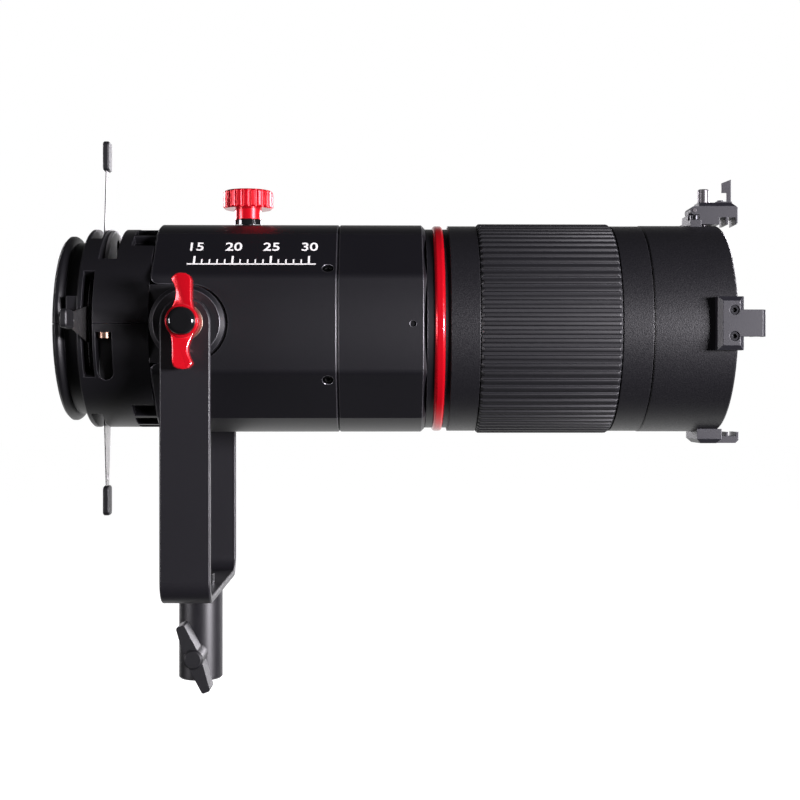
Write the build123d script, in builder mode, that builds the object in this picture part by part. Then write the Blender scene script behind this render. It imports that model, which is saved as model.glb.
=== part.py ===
from build123d import *

# Ellipsoidal spotlight: framing gate, focus and zoom lens tube, yoke and stand socket.
# Millimetres, +Z up, +X out of the front lens, origin at the centre of the stand socket's mouth.

import os
from math import cos, radians, sin, sqrt

os.makedirs("parts", exist_ok=True)

# Driving dimensions: places along the optical axis ------------------------------------------
TILT_Z = 209.0  # optical axis, and tilt axis, above the socket's mouth
BOSS_R = 21.0  # trunnion bosses on the tilt axis, which is at x = 0
BODY_REAR_X = -(BOSS_R + 0.6)  # rear face of the main body, just behind the bosses
BODY_LENGTH = 105.0
FRONT_SECTION_LENGTH = 50.4
DRUM_LENGTH = 40.4  # large drum of the rear housing, which holds the gate
NECK_LENGTH = 10.5
LIP_LENGTH = 3.9
SPIGOT_LENGTH = 34.0  # rear housing's spigot inside the main body
RING_GAP = 0.3  # axial gap in front of and behind the turning zoom assembly
NECK_RING_LENGTH = 4.3
RED_RING_LENGTH = 5.8
GROOVE_LENGTH = 3.4
REAR_BAND_LENGTH = 16.2
GRIP_LENGTH = 80.4
FRONT_BAND_LENGTH = 16.8
FRONT_TUBE_LENGTH = 47.1
FRONT_WEB = 6.7  # web that carries the front tube on the lens barrel
BARREL_ENGAGEMENT = 37.8  # length of the lens barrel inside the front section

# Driving dimensions: radii -----------------------------------------------------------------
BODY_R = 61.8
BODY_WALL = 11.8  # at the round top; the side faces leave less
DRUM_STEP = 2.9  # the drum's outside lies this far inside the body's
DRUM_WALL = 8.9
NECK_STEP = 8.0
LIP_STEP = 4.1
SPIGOT_WALL = 3.9
FLAT_ANGLE = 26.4  # from the horizontal to the corner of each side face
SIDE_CROWN_R = 115.0  # the side faces are crowned to this radius
FACET_ANGLE = 59.6  # from the horizontal to the outer corner of each facet
CORNER_FILLET = 7.0
BARREL_WALL = 3.5
FRONT_WALL_LEFT = 3.9  # metal left outside the lens barrel at the side faces' corners
SLEEVE_WALL = 6.2
GRIP_HEIGHT = 4.6
RIB_HEIGHT = 1.3
RIB_COUNT = 80
BAND_STEP = 0.5  # the zoom bands lie this far inside the body's outside
FRONT_TUBE_STEP = 0.1
FRONT_TUBE_WALL = 4.2

# Driving dimensions: gate ------------------------------------------------------------------
APERTURE_R = 31.0
PLATE_THICKNESS = 0.9
BLADE_THICKNESS = 0.7
MIDDLE_THICKNESS = 0.6
BLADE_GAP = 0.3
SLOT_INSET = 2.8  # from the drum's rear face to the shutter slots
SLOT_WIDTH = 6.2
SLOT_HALF_ANGLE = 30.6
SLOT_WALL = 1.2  # between shutter slots and gobo slot
GOBO_SLOT_WIDTH = 10.2
GOBO_FLOOR = 37.4  # flat floor of the gobo slot above the axis
GOBO_CHORD = 45.6  # half the floor's width
HOLDER_R = 38.0
HOLDER_RISE = 20.5  # the holder's round top is this far above its round bottom
HOLDER_THICKNESS = 2.0
HOLDER_PLAY = 0.45
BLADE_INNER = 32.5  # the blades' straight inner edges, open, from the axis
BLADE_HALF_WIDTH = 33.0
BLADE_NECK = 10.5
BLADE_NECK_END = 3.7
TIP_START = 94.0
TIP_LENGTH = 17.8
TIP_WIDTH = 10.0
TIP_THICKNESS = 3.8
TIP_SEAT = 6.0

# Driving dimensions: yoke, trunnions and stand socket ----------------------------------------
YOKE_WIDTH = 28.0
YOKE_THICKNESS = 4.0
YOKE_BEND = 13.0
RECEIVER_R = 13.0
RECEIVER_LENGTH = 52.7
SOCKET_R = 8.1  # takes a 16 mm stand stud
SOCKET_DEPTH = 38.0
NOTCH_PLAY = 1.3
BOSS_HEIGHT = 11.1  # boss face beyond the corners of the side face
FRICTION_WASHER = 1.5
FRICTION_WASHER_R = 12.5
PIVOT_R = 4.0
KNOB_WASHER = 1.2
KNOB_WASHER_R = 10.0

# Clearances and small shared sizes -----------------------------------------------------------
FIT = 0.05  # between pieces fixed to each other
RUN = 0.06  # shafts in their holes
SLIDE = 0.3  # between curved faces that slide or turn past each other
SEAM = 0.3  # gasket line between the two housing halves
EDGE = 0.8  # bright machined chamfer

# Stations and radii that follow from them ----------------------------------------------------
DRUM_FRONT_X = BODY_REAR_X - 0.4
DRUM_REAR_X = DRUM_FRONT_X - DRUM_LENGTH
LIP_FRONT_X = DRUM_REAR_X - NECK_LENGTH
REAR_X = LIP_FRONT_X - LIP_LENGTH
SPIGOT_END_X = DRUM_FRONT_X + SPIGOT_LENGTH
SEAM_X = BODY_REAR_X + BODY_LENGTH
SECTION_END_X = SEAM_X + FRONT_SECTION_LENGTH
NECK_RING_X = SECTION_END_X + RING_GAP
RED_RING_X = NECK_RING_X + NECK_RING_LENGTH
GROOVE_X = RED_RING_X + RED_RING_LENGTH
REAR_BAND_X = GROOVE_X + GROOVE_LENGTH
GRIP_X = REAR_BAND_X + REAR_BAND_LENGTH
FRONT_BAND_X = GRIP_X + GRIP_LENGTH
SLEEVE_END_X = FRONT_BAND_X + FRONT_BAND_LENGTH
FRONT_TUBE_X = SLEEVE_END_X + RING_GAP
FRONT_RIM_X = FRONT_TUBE_X + FRONT_TUBE_LENGTH
BARREL_X = SECTION_END_X - BARREL_ENGAGEMENT
BARREL_END_X = FRONT_TUBE_X + FRONT_WEB

BODY_BORE = BODY_R - BODY_WALL
FLAT_Y = BODY_R * cos(radians(FLAT_ANGLE))  # half the width across the side faces' corners
SIDE_Y = FLAT_Y + SIDE_CROWN_R - sqrt(SIDE_CROWN_R**2 - (BODY_R * sin(radians(FLAT_ANGLE))) ** 2)
DRUM_R = BODY_R - DRUM_STEP
DRUM_BORE = DRUM_R - DRUM_WALL
NECK_R = DRUM_R - NECK_STEP
LIP_R = DRUM_R - LIP_STEP
SPIGOT_R = BODY_BORE - FIT
SPIGOT_BORE = SPIGOT_R - SPIGOT_WALL
BARREL_R = FLAT_Y - FRONT_WALL_LEFT
BARREL_BORE = BARREL_R - BARREL_WALL
SLEEVE_BORE = BARREL_R + SLIDE
SLEEVE_R = SLEEVE_BORE + SLEEVE_WALL
GRIP_R = SLEEVE_R + GRIP_HEIGHT
BAND_R = BODY_R - BAND_STEP
FRONT_TUBE_R = BODY_R - FRONT_TUBE_STEP
FRONT_TUBE_BORE = FRONT_TUBE_R - FRONT_TUBE_WALL

SLOT_X = DRUM_REAR_X + SLOT_INSET
STACK_X = SLOT_X + 0.2
BLADE_A_X = STACK_X + PLATE_THICKNESS + BLADE_GAP
MIDDLE_X = BLADE_A_X + BLADE_THICKNESS + BLADE_GAP
BLADE_B_X = MIDDLE_X + MIDDLE_THICKNESS + BLADE_GAP
FRONT_PLATE_X = BLADE_B_X + BLADE_THICKNESS + BLADE_GAP
GOBO_BLOCK_X = SLOT_X + SLOT_WIDTH
GOBO_SLOT_X = GOBO_BLOCK_X + SLOT_WALL
GOBO_END_X = GOBO_SLOT_X + GOBO_SLOT_WIDTH
HOLDER_X = GOBO_SLOT_X + 2 * HOLDER_PLAY

BOSS_FACE_Y = FLAT_Y + BOSS_HEIGHT
ARM_Y = BOSS_FACE_Y + FRICTION_WASHER  # inner face of each yoke arm
YOKE_Y = ARM_Y + YOKE_THICKNESS
YOKE_BOTTOM_Z = RECEIVER_LENGTH
NOTCH_R = BOSS_R + NOTCH_PLAY
TONGUE_R = NOTCH_R - SLIDE

OPTIC = Axis((0, 0, TILT_Z), (1, 0, 0))
PROFILE = Plane(origin=(0, 0, TILT_Z), x_dir=(1, 0, 0), z_dir=(0, -1, 0))


def section(x):
    """Plane across the optical axis: its own x runs along +Y and its own y along +Z."""
    return Plane(origin=(x, 0, TILT_Z), x_dir=(0, 1, 0), z_dir=(1, 0, 0))


def around(x, angle):
    """Plane across the optical axis, turned so that its own y points out at the angle from +Y."""
    out = radians(angle)
    return Plane(origin=(x, 0, TILT_Z), x_dir=(0, sin(out), -cos(out)), z_dir=(1, 0, 0))


def radial(x, reach, angle):
    """Plane that faces outwards at the angle from +Y, a reach away from the optical axis."""
    out = radians(angle)
    place = (x, reach * cos(out), TILT_Z + reach * sin(out))
    return Plane(origin=place, x_dir=(1, 0, 0), z_dir=(0, cos(out), sin(out)))


def lengthwise(angle):
    """Plane along the optical axis: its own x runs along +X and its own y points out at the angle."""
    out = radians(angle)
    return Plane(origin=(0, 0, TILT_Z), x_dir=(1, 0, 0), z_dir=(0, -sin(out), cos(out)))


def ring(start, end, inner, outer, mode=Mode.ADD):
    """Straight ring about the optical axis, or a disc when the inner radius is 0."""
    with BuildSketch(section(start)) as face:
        Circle(outer)
        if inner > 0:
            Circle(inner, mode=Mode.SUBTRACT)
    extrude(face.sketch, amount=end - start, mode=mode)


def peg(plane, radius, length, mode=Mode.ADD):
    """Round peg that rises from a plane; a negative length goes the other way."""
    with BuildSketch(plane) as face:
        Circle(radius)
    extrude(face.sketch, amount=length, mode=mode)


def cap_screw(seat, head_r, head_height, shank_r, shank_length):
    """Socket head screw whose head stands on the seat plane."""
    peg(seat, head_r, head_height)
    peg(seat, shank_r, -shank_length)
    with BuildSketch(seat.offset(head_height)) as key:
        RegularPolygon(head_r * 0.55, 6)
    extrude(key.sketch, amount=-head_height * 0.6, mode=Mode.SUBTRACT)


def save(piece, name):
    """Label a finished piece and write its file."""
    piece.part.label = name
    export_step(piece.part, f"parts/{name}.step")


def body_outline(radius):
    """Round outline with a gently crowned face on each side and a facet above and below it."""
    def rim(angle):
        return (radius * cos(radians(angle)), radius * sin(radians(angle)))

    with BuildLine() as outline:
        for side in (0, 180):
            Line(rim(side - FACET_ANGLE), rim(side - FLAT_ANGLE))
            RadiusArc(rim(side - FLAT_ANGLE), rim(side + FLAT_ANGLE), -SIDE_CROWN_R)
            Line(rim(side + FLAT_ANGLE), rim(side + FACET_ANGLE))
            RadiusArc(rim(side + FACET_ANGLE), rim(side + 180 - FACET_ANGLE), -radius)
    make_face(outline.edges())
    halfway = radius * sin(radians((FLAT_ANGLE + FACET_ANGLE) / 2))
    corners = vertices().filter_by(lambda corner: abs(corner.Y) < halfway)
    fillet(corners, radius=CORNER_FILLET)


# Rear housing: one shell, parted along the optical axis into an upper and a lower half --------
VENT_LENGTH = 13.0
VENT_DEPTH = 4.5
VENT_ANGLES = (-33.5, -20.0, -6.5, 6.5, 20.0, 33.5)
VENT_WIDTH_ANGLE = 11.0
MORPH_LENGTH = 16.0  # over this length the drum's round side runs out into the body's facets
MORPH_TAPER = 5.0
CHANNEL_R = 4.6
CHANNEL_X = GOBO_SLOT_X + 5.0
CHANNEL_Y = DRUM_R - CHANNEL_R - 0.5
CHANNEL_TOP = 4.8  # screw seat below the axis
CHANNEL_REACH = 22.1  # from the seat to the middle of the round lower end
CHANNEL_FLOOR_Y = DRUM_R - 12.9
HOUSING_SCREW_R = 2.0
HOUSING_SCREW_LENGTH = 14.0
MOUNT_RING_R = NECK_R - 5.9
TONGUE_Y = FLAT_Y + 0.3  # flat face that carries the trunnion boss
BOSS_SCREW_R = 1.5
BOSS_SCREW_SPOT = 7.8
BOSS_SCREW_DEPTH = 15.9
BOSS_COUNTERBORE = 2.6

with BuildPart() as housing:
    ring(DRUM_FRONT_X - MORPH_LENGTH, DRUM_FRONT_X, 0, DRUM_R)
    with BuildSketch(section(DRUM_FRONT_X)):
        body_outline(BODY_R - 0.3)
    extrude(amount=-MORPH_LENGTH, taper=-MORPH_TAPER, mode=Mode.INTERSECT)
    ring(DRUM_REAR_X, DRUM_FRONT_X - MORPH_LENGTH, 0, DRUM_R)
    rear_rim = edges().filter_by(GeomType.CIRCLE).sort_by(Axis.X)[0]
    chamfer(rear_rim, length=EDGE)
    with BuildSketch(PROFILE):
        with BuildLine():
            Polyline((DRUM_REAR_X, 0), (REAR_X, 0), (REAR_X, LIP_R - 1.6))
            Line((REAR_X, LIP_R - 1.6), (REAR_X + 1.6, LIP_R))
            Line((REAR_X + 1.6, LIP_R), (LIP_FRONT_X - 0.6, LIP_R))
            ThreePointArc(
                (LIP_FRONT_X - 0.6, LIP_R),
                (LIP_FRONT_X + 1.0, LIP_R - 1.1),
                (LIP_FRONT_X + 2.2, NECK_R),
            )
            Polyline((LIP_FRONT_X + 2.2, NECK_R), (DRUM_REAR_X, NECK_R), (DRUM_REAR_X, 0))
        make_face()
    revolve(axis=OPTIC)
    # Cable guide block on the near side of the neck, above the seam.
    with BuildSketch(section(DRUM_REAR_X - 6.0)):
        with Locations((-(NECK_R + 1.2), 8.6)):
            Rectangle(8.0, 13.6)
    extrude(amount=7.5)
    ring(DRUM_FRONT_X, SPIGOT_END_X, 0, SPIGOT_R)
    # Tongues that reach into the body's side notches and carry the trunnions.
    with BuildSketch(Plane.XZ.offset(-TONGUE_Y)):
        with Locations((DRUM_FRONT_X / 2, TILT_Z)):
            Rectangle(-DRUM_FRONT_X, 2 * TONGUE_R)
        with Locations((0, TILT_Z)):
            Circle(TONGUE_R)
    extrude(amount=2 * TONGUE_Y)
    # Bores, from the lamp side to the lens side.
    ring(REAR_X, DRUM_REAR_X + SLOT_INSET + 0.2, 0, MOUNT_RING_R, mode=Mode.SUBTRACT)
    ring(STACK_X, GOBO_BLOCK_X, 0, DRUM_BORE, mode=Mode.SUBTRACT)
    ring(GOBO_BLOCK_X, GOBO_END_X, 0, APERTURE_R + 2, mode=Mode.SUBTRACT)
    ring(GOBO_END_X, DRUM_FRONT_X - 4, 0, DRUM_BORE, mode=Mode.SUBTRACT)
    ring(DRUM_FRONT_X - 4, SPIGOT_END_X, 0, SPIGOT_BORE, mode=Mode.SUBTRACT)
    ring(SPIGOT_END_X, SPIGOT_END_X + TONGUE_R, 0, BODY_BORE, mode=Mode.SUBTRACT)
    # Four shutter slots through the drum's wall.
    for direction in (0, 90, 180, 270):
        with BuildSketch(around(SLOT_X, direction)):
            slot_reach = 1.2 * DRUM_R
            slot_half = slot_reach * sin(radians(SLOT_HALF_ANGLE)) / cos(radians(SLOT_HALF_ANGLE))
            Polygon((0, 0), (slot_half, slot_reach), (-slot_half, slot_reach), align=None)
            Circle(DRUM_BORE - 1, mode=Mode.SUBTRACT)
        extrude(amount=SLOT_WIDTH, mode=Mode.SUBTRACT)
    # Gobo slot with its flat floor, and the narrow guide that the holder drops into.
    with BuildSketch(section(GOBO_SLOT_X)):
        with Locations((0, GOBO_FLOOR)):
            Rectangle(2 * GOBO_CHORD, DRUM_R, align=(Align.CENTER, Align.MIN))
    extrude(amount=GOBO_SLOT_WIDTH, mode=Mode.SUBTRACT)
    with BuildSketch(section(HOLDER_X - HOLDER_PLAY)):
        Circle(HOLDER_R + HOLDER_PLAY)
        with Locations((0, DRUM_R / 2)):
            Rectangle(2 * (HOLDER_R + HOLDER_PLAY), DRUM_R)
    extrude(amount=HOLDER_THICKNESS + 2 * HOLDER_PLAY, mode=Mode.SUBTRACT)
    # Vent pockets over the top and bottom, open towards the body.
    for middle in (90, 270):
        for offset_angle in VENT_ANGLES:
            with BuildSketch(radial(DRUM_FRONT_X - VENT_LENGTH / 2 + 1, DRUM_R + 2, middle + offset_angle)):
                Rectangle(VENT_LENGTH + 2, 2 * DRUM_R * sin(radians(VENT_WIDTH_ANGLE / 2)))
            extrude(amount=-(VENT_DEPTH + 2), mode=Mode.SUBTRACT)
    # Screw pockets, one each side: open outwards, round at the lower end, with a seat at the top.
    for side in (-1, 1):
        with BuildSketch(Plane.XZ.offset(-side * CHANNEL_FLOOR_Y)):
            with Locations((CHANNEL_X, TILT_Z - CHANNEL_TOP - CHANNEL_REACH / 2)):
                Rectangle(2 * CHANNEL_R, CHANNEL_REACH)
            with Locations((CHANNEL_X, TILT_Z - CHANNEL_TOP - CHANNEL_REACH)):
                Circle(CHANNEL_R)
        extrude(amount=-side * (DRUM_R - CHANNEL_FLOOR_Y + 1), mode=Mode.SUBTRACT)
        seat = Plane(origin=(CHANNEL_X, side * CHANNEL_Y, TILT_Z - CHANNEL_TOP), z_dir=(0, 0, -1))
        peg(seat, HOUSING_SCREW_R + FIT, -(HOUSING_SCREW_LENGTH + 1), mode=Mode.SUBTRACT)
    # Screw holes for the trunnion bosses.
    for side in (0, 180):
        with BuildSketch(radial(0, TONGUE_Y, side)):
            with GridLocations(2 * BOSS_SCREW_SPOT, 2 * BOSS_SCREW_SPOT, 2, 2):
                Circle(BOSS_SCREW_R + FIT)
        extrude(amount=-(BOSS_SCREW_DEPTH - BOSS_HEIGHT + BOSS_COUNTERBORE + 1), mode=Mode.SUBTRACT)

with BuildPart() as rear_housing_upper:
    add(housing.part)
    split(bisect_by=Plane.XY.offset(TILT_Z + SEAM / 2), keep=Keep.TOP)
save(rear_housing_upper, "rear_housing_upper")

with BuildPart() as rear_housing_lower:
    add(housing.part)
    split(bisect_by=Plane.XY.offset(TILT_Z - SEAM / 2), keep=Keep.BOTTOM)
save(rear_housing_lower, "rear_housing_lower")

with BuildPart() as housing_screws:
    for side in (-1, 1):
        seat = Plane(origin=(CHANNEL_X, side * CHANNEL_Y, TILT_Z - CHANNEL_TOP), z_dir=(0, 0, -1))
        cap_screw(seat, CHANNEL_R - 0.8, 3.4, HOUSING_SCREW_R, HOUSING_SCREW_LENGTH)
save(housing_screws, "housing_screws")

# Lamp mount: a metal bayonet ring in the neck, with the condenser lens behind it ---------------
MOUNT_BORE = MOUNT_RING_R - 4.0
MOUNT_RING_LENGTH = 9.0
BAYONET_DEPTH = 4.0
BAYONET_WIDTH = 14.0
CONDENSER_EDGE = 3.4
CONDENSER_CROWN = 4.0

with BuildPart() as lamp_mount_ring:
    ring(REAR_X, REAR_X + MOUNT_RING_LENGTH, MOUNT_BORE, MOUNT_RING_R - FIT)
    for angle in (90, 210, 330):
        with BuildSketch(around(REAR_X, angle)):
            with Locations((0, MOUNT_BORE)):
                Rectangle(BAYONET_WIDTH, 3.6)
        extrude(amount=BAYONET_DEPTH, mode=Mode.SUBTRACT)
save(lamp_mount_ring, "lamp_mount_ring")


def dome_lens(flat_x, edge, crown, radius, towards):
    """Plano-convex lens: flat face at flat_x, its crown pointing along towards (+1 or -1)."""
    rim_x = flat_x + towards * edge
    with BuildSketch(PROFILE) as half:
        with BuildLine():
            Polyline((rim_x, radius), (flat_x, radius), (flat_x, 0), (rim_x + towards * crown, 0))
            sphere_r = (radius**2 + crown**2) / (2 * crown)
            RadiusArc((rim_x + towards * crown, 0), (rim_x, radius), -towards * sphere_r)
        make_face()
    revolve(half.sketch, axis=OPTIC)


with BuildPart() as condenser_lens:
    dome_lens(STACK_X - 0.2, CONDENSER_EDGE, CONDENSER_CROWN, MOUNT_RING_R - FIT, -1)
save(condenser_lens, "condenser_lens")

# Gate: three plates with the shutter blades between them --------------------------------------
for name, start, thickness in (
    ("gate_plate_rear", STACK_X, PLATE_THICKNESS),
    ("gate_plate_middle", MIDDLE_X, MIDDLE_THICKNESS),
    ("gate_plate_front", FRONT_PLATE_X, PLATE_THICKNESS),
):
    with BuildPart() as gate_plate:
        ring(start, start + thickness, APERTURE_R, DRUM_BORE - FIT)
    save(gate_plate, name)

BLADE_ROUND = DRUM_BORE - 1.3
BLADE_END = TIP_START + TIP_SEAT
SHUTTERS = (
    ("near", 180, BLADE_A_X),
    ("far", 0, BLADE_A_X),
    ("top", 90, BLADE_B_X),
    ("bottom", 270, BLADE_B_X),
)


def blade_outline():
    """Wide inner blade with an arc behind it, and a neck that narrows to the tip."""
    shoulder = sqrt(BLADE_ROUND**2 - BLADE_HALF_WIDTH**2)
    root = sqrt(BLADE_ROUND**2 - BLADE_NECK**2)
    with BuildLine() as outline:
        Polyline(
            (BLADE_HALF_WIDTH, shoulder),
            (BLADE_HALF_WIDTH, BLADE_INNER),
            (-BLADE_HALF_WIDTH, BLADE_INNER),
            (-BLADE_HALF_WIDTH, shoulder),
        )
        RadiusArc((-BLADE_HALF_WIDTH, shoulder), (-BLADE_NECK, root), BLADE_ROUND)
        Polyline(
            (-BLADE_NECK, root),
            (-BLADE_NECK_END, TIP_START),
            (-BLADE_NECK_END, BLADE_END),
            (BLADE_NECK_END, BLADE_END),
            (BLADE_NECK_END, TIP_START),
            (BLADE_NECK, root),
        )
        RadiusArc((BLADE_NECK, root), (BLADE_HALF_WIDTH, shoulder), BLADE_ROUND)
    make_face(outline.edges())


for name, angle, start in SHUTTERS:
    with BuildPart() as shutter_blade:
        with BuildSketch(around(start, angle)):
            blade_outline()
            with Locations((0, TIP_START - 5)):
                SlotOverall(5.0, 2.2, rotation=90, mode=Mode.SUBTRACT)
        extrude(amount=BLADE_THICKNESS)
    save(shutter_blade, f"shutter_blade_{name}")

    with BuildPart() as shutter_tip:
        middle_x = start + BLADE_THICKNESS / 2
        with BuildSketch(around(middle_x, angle)):
            with Locations((0, TIP_START + TIP_LENGTH / 2)):
                Rectangle(TIP_WIDTH, TIP_LENGTH)
        extrude(amount=TIP_THICKNESS / 2, both=True)
        fillet(edges().filter_by(Axis.X), radius=2.4)
        chamfer(faces().filter_by(Axis.X).edges(), length=0.7)
        with BuildSketch(around(middle_x, angle)):
            with Locations((0, TIP_START)):
                Rectangle(2 * (BLADE_NECK_END + FIT), 2 * (TIP_SEAT + FIT))
        extrude(amount=BLADE_THICKNESS / 2 + FIT, both=True, mode=Mode.SUBTRACT)
    save(shutter_tip, f"shutter_tip_{name}")

# Gobo holder: a sheet metal slide with a round top and a finger hole ---------------------------
with BuildPart() as gobo_holder:
    with BuildSketch(section(HOLDER_X)):
        Circle(HOLDER_R)
        with Locations((0, HOLDER_RISE)):
            Circle(HOLDER_R)
        with Locations((0, HOLDER_RISE / 2)):
            Rectangle(2 * HOLDER_R, HOLDER_RISE)
        Circle(APERTURE_R, mode=Mode.SUBTRACT)
        with Locations((0, HOLDER_R + HOLDER_RISE - 11)):
            Circle(5.5, mode=Mode.SUBTRACT)
    extrude(amount=HOLDER_THICKNESS)
save(gobo_holder, "gobo_holder")

# Main body: an extrusion with side notches that straddle the trunnions -------------------------
FOCUS_X = 28.4
FOCUS_TRAVEL = 10.0
POST_R = 3.5
NOTCH_LIP_FILLET = 5.0
SPIGOT_2_LENGTH = 12.4  # front section's spigot inside the main body
SCREW_SPOT = 12.0  # along each facet, from its middle
SCREW_INSET = 5.4  # from the seam
FACET_MIDDLE = (FLAT_ANGLE + FACET_ANGLE) / 2
FACET_REACH = BODY_R * cos(radians((FACET_ANGLE - FLAT_ANGLE) / 2))
BODY_SCREW_HEAD_R = 3.0
BODY_SCREW_R = 1.5
BODY_SCREW_RECESS = 2.2
BODY_SCREW_LENGTH = 8.2
FACETS = (
    (FACET_MIDDLE, SCREW_SPOT),
    (-FACET_MIDDLE, -SCREW_SPOT),
    (180 - FACET_MIDDLE, -SCREW_SPOT),
    (180 + FACET_MIDDLE, SCREW_SPOT),
)


def facet_seat(angle, spot, depth):
    """Plane on a facet, at the place of its screw and sunk by a depth."""
    face = radial(SEAM_X - SCREW_INSET, FACET_REACH - depth, angle)
    return Plane(origin=face.from_local_coords((0, spot, 0)), x_dir=face.x_dir, z_dir=face.z_dir)


with BuildPart() as main_body:
    with BuildSketch(section(BODY_REAR_X)):
        body_outline(BODY_R)
    extrude(amount=BODY_LENGTH)
    end_faces = faces().filter_by(Axis.X)
    chamfer(end_faces.edges(), length=EDGE)
    ring(BODY_REAR_X, SEAM_X, 0, BODY_BORE, mode=Mode.SUBTRACT)
    with BuildSketch(Plane.XZ.offset(-BODY_R)):
        with Locations((BODY_REAR_X / 2, TILT_Z)):
            Rectangle(-BODY_REAR_X, 2 * NOTCH_R)
        with Locations((0, TILT_Z)):
            Circle(NOTCH_R)
        for side in (-1, 1):
            with Locations((BODY_REAR_X, TILT_Z + side * (NOTCH_R + NOTCH_LIP_FILLET / 2))):
                Rectangle(2 * NOTCH_LIP_FILLET, NOTCH_LIP_FILLET)
            rounding = (BODY_REAR_X + NOTCH_LIP_FILLET, TILT_Z + side * (NOTCH_R + NOTCH_LIP_FILLET))
            with Locations(rounding):
                Circle(NOTCH_LIP_FILLET, mode=Mode.SUBTRACT)
    extrude(amount=2 * BODY_R, mode=Mode.SUBTRACT)
    with BuildSketch(radial(FOCUS_X, BODY_R + 1, 90)):
        SlotCenterToCenter(2 * FOCUS_TRAVEL, 2 * (POST_R + SLIDE))
    extrude(amount=-(BODY_WALL + 2), mode=Mode.SUBTRACT)
    for angle, spot in FACETS:
        seat = facet_seat(angle, spot, BODY_SCREW_RECESS)
        peg(seat, BODY_SCREW_HEAD_R + 0.25, BODY_SCREW_RECESS + 2, mode=Mode.SUBTRACT)
        peg(seat, BODY_SCREW_R + FIT, -(BODY_WALL + 2), mode=Mode.SUBTRACT)
save(main_body, "main_body")

GRUB_R = 1.7
GRUB_SINK = 0.8
GRUB_LENGTH = 6.6
GRUB_INSET = 7.8  # from the front section's front face

with BuildPart() as front_section:
    with BuildSketch(section(SEAM_X)):
        body_outline(BODY_R)
    extrude(amount=FRONT_SECTION_LENGTH)
    end_faces = faces().filter_by(Axis.X).sort_by(Axis.X)
    chamfer(end_faces[0].edges(), length=EDGE)
    chamfer(end_faces[-1].edges(), length=2.0)
    ring(SEAM_X - SPIGOT_2_LENGTH, SEAM_X, 0, SPIGOT_R)
    ring(SEAM_X - SPIGOT_2_LENGTH, SECTION_END_X, 0, SPIGOT_BORE, mode=Mode.SUBTRACT)
    ring(BARREL_X, SECTION_END_X, 0, BARREL_R + FIT, mode=Mode.SUBTRACT)
    for angle, spot in FACETS:
        seat = facet_seat(angle, spot, BODY_SCREW_RECESS)
        peg(seat, BODY_SCREW_R + FIT, -(BODY_SCREW_LENGTH + 4), mode=Mode.SUBTRACT)
    for side in (0, 180):
        grub_hole = radial(SECTION_END_X - GRUB_INSET, SIDE_Y + 1, side)
        peg(grub_hole, GRUB_R + FIT, -(GRUB_SINK + GRUB_LENGTH + 2), mode=Mode.SUBTRACT)
save(front_section, "front_section")

with BuildPart() as body_screws:
    for angle, spot in FACETS:
        seat = facet_seat(angle, spot, BODY_SCREW_RECESS)
        cap_screw(seat, BODY_SCREW_HEAD_R, 1.6, BODY_SCREW_R, BODY_SCREW_LENGTH)
save(body_screws, "body_screws")

with BuildPart() as grub_screws:
    for side in (0, 180):
        peg(radial(SECTION_END_X - GRUB_INSET, SIDE_Y - GRUB_SINK, side), GRUB_R, -GRUB_LENGTH)
save(grub_screws, "grub_screws")

# Trunnion bosses: round pads on the housing tongues that the yoke arms clamp on ----------------
STUD_REACH = 10.5  # tapped depth of each boss
BOSS_EDGE = 2.4
for name, side in (("near", 180), ("far", 0)):
    with BuildPart() as trunnion_boss:
        peg(radial(0, TONGUE_Y, side), BOSS_R, BOSS_FACE_Y - TONGUE_Y)
        outer_face = faces().filter_by(Axis.Y).sort_by(lambda face: abs(face.center().Y))[-1]
        chamfer(outer_face.edges(), length=BOSS_EDGE)
        peg(radial(0, BOSS_FACE_Y, side), PIVOT_R + RUN, -STUD_REACH, mode=Mode.SUBTRACT)
        with BuildSketch(radial(0, BOSS_FACE_Y, side)):
            with GridLocations(2 * BOSS_SCREW_SPOT, 2 * BOSS_SCREW_SPOT, 2, 2):
                Circle(2.9)
        extrude(amount=-BOSS_COUNTERBORE, mode=Mode.SUBTRACT)
        with BuildSketch(radial(0, BOSS_FACE_Y, side)):
            with GridLocations(2 * BOSS_SCREW_SPOT, 2 * BOSS_SCREW_SPOT, 2, 2):
                Circle(BOSS_SCREW_R + FIT)
        extrude(amount=-(BOSS_HEIGHT + 1), mode=Mode.SUBTRACT)
    save(trunnion_boss, f"trunnion_boss_{name}")

with BuildPart() as boss_screws:
    for side in (0, 180):
        for spot_x in (-BOSS_SCREW_SPOT, BOSS_SCREW_SPOT):
            for spot_y in (-BOSS_SCREW_SPOT, BOSS_SCREW_SPOT):
                face = radial(0, BOSS_FACE_Y - BOSS_COUNTERBORE, side)
                seat = Plane(face.from_local_coords((spot_x, spot_y, 0)), face.x_dir, face.z_dir)
                cap_screw(seat, 2.8, 2.2, BOSS_SCREW_R, BOSS_SCREW_DEPTH - BOSS_COUNTERBORE)
save(boss_screws, "boss_screws")

with BuildPart() as friction_washers:
    for side in (0, 180):
        with BuildSketch(radial(0, BOSS_FACE_Y, side)):
            Circle(FRICTION_WASHER_R)
            Circle(PIVOT_R + RUN, mode=Mode.SUBTRACT)
        extrude(amount=FRICTION_WASHER)
save(friction_washers, "friction_washers")

# Yoke: a flat bar bent to a U, with round ends about the tilt axis ------------------------------
YOKE_BOLT_R = 5.0
YOKE_EDGE = 0.7
BAR_TOP_Z = YOKE_BOTTOM_Z + YOKE_BEND + 20  # where the bent bar and the straight arms meet

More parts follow.
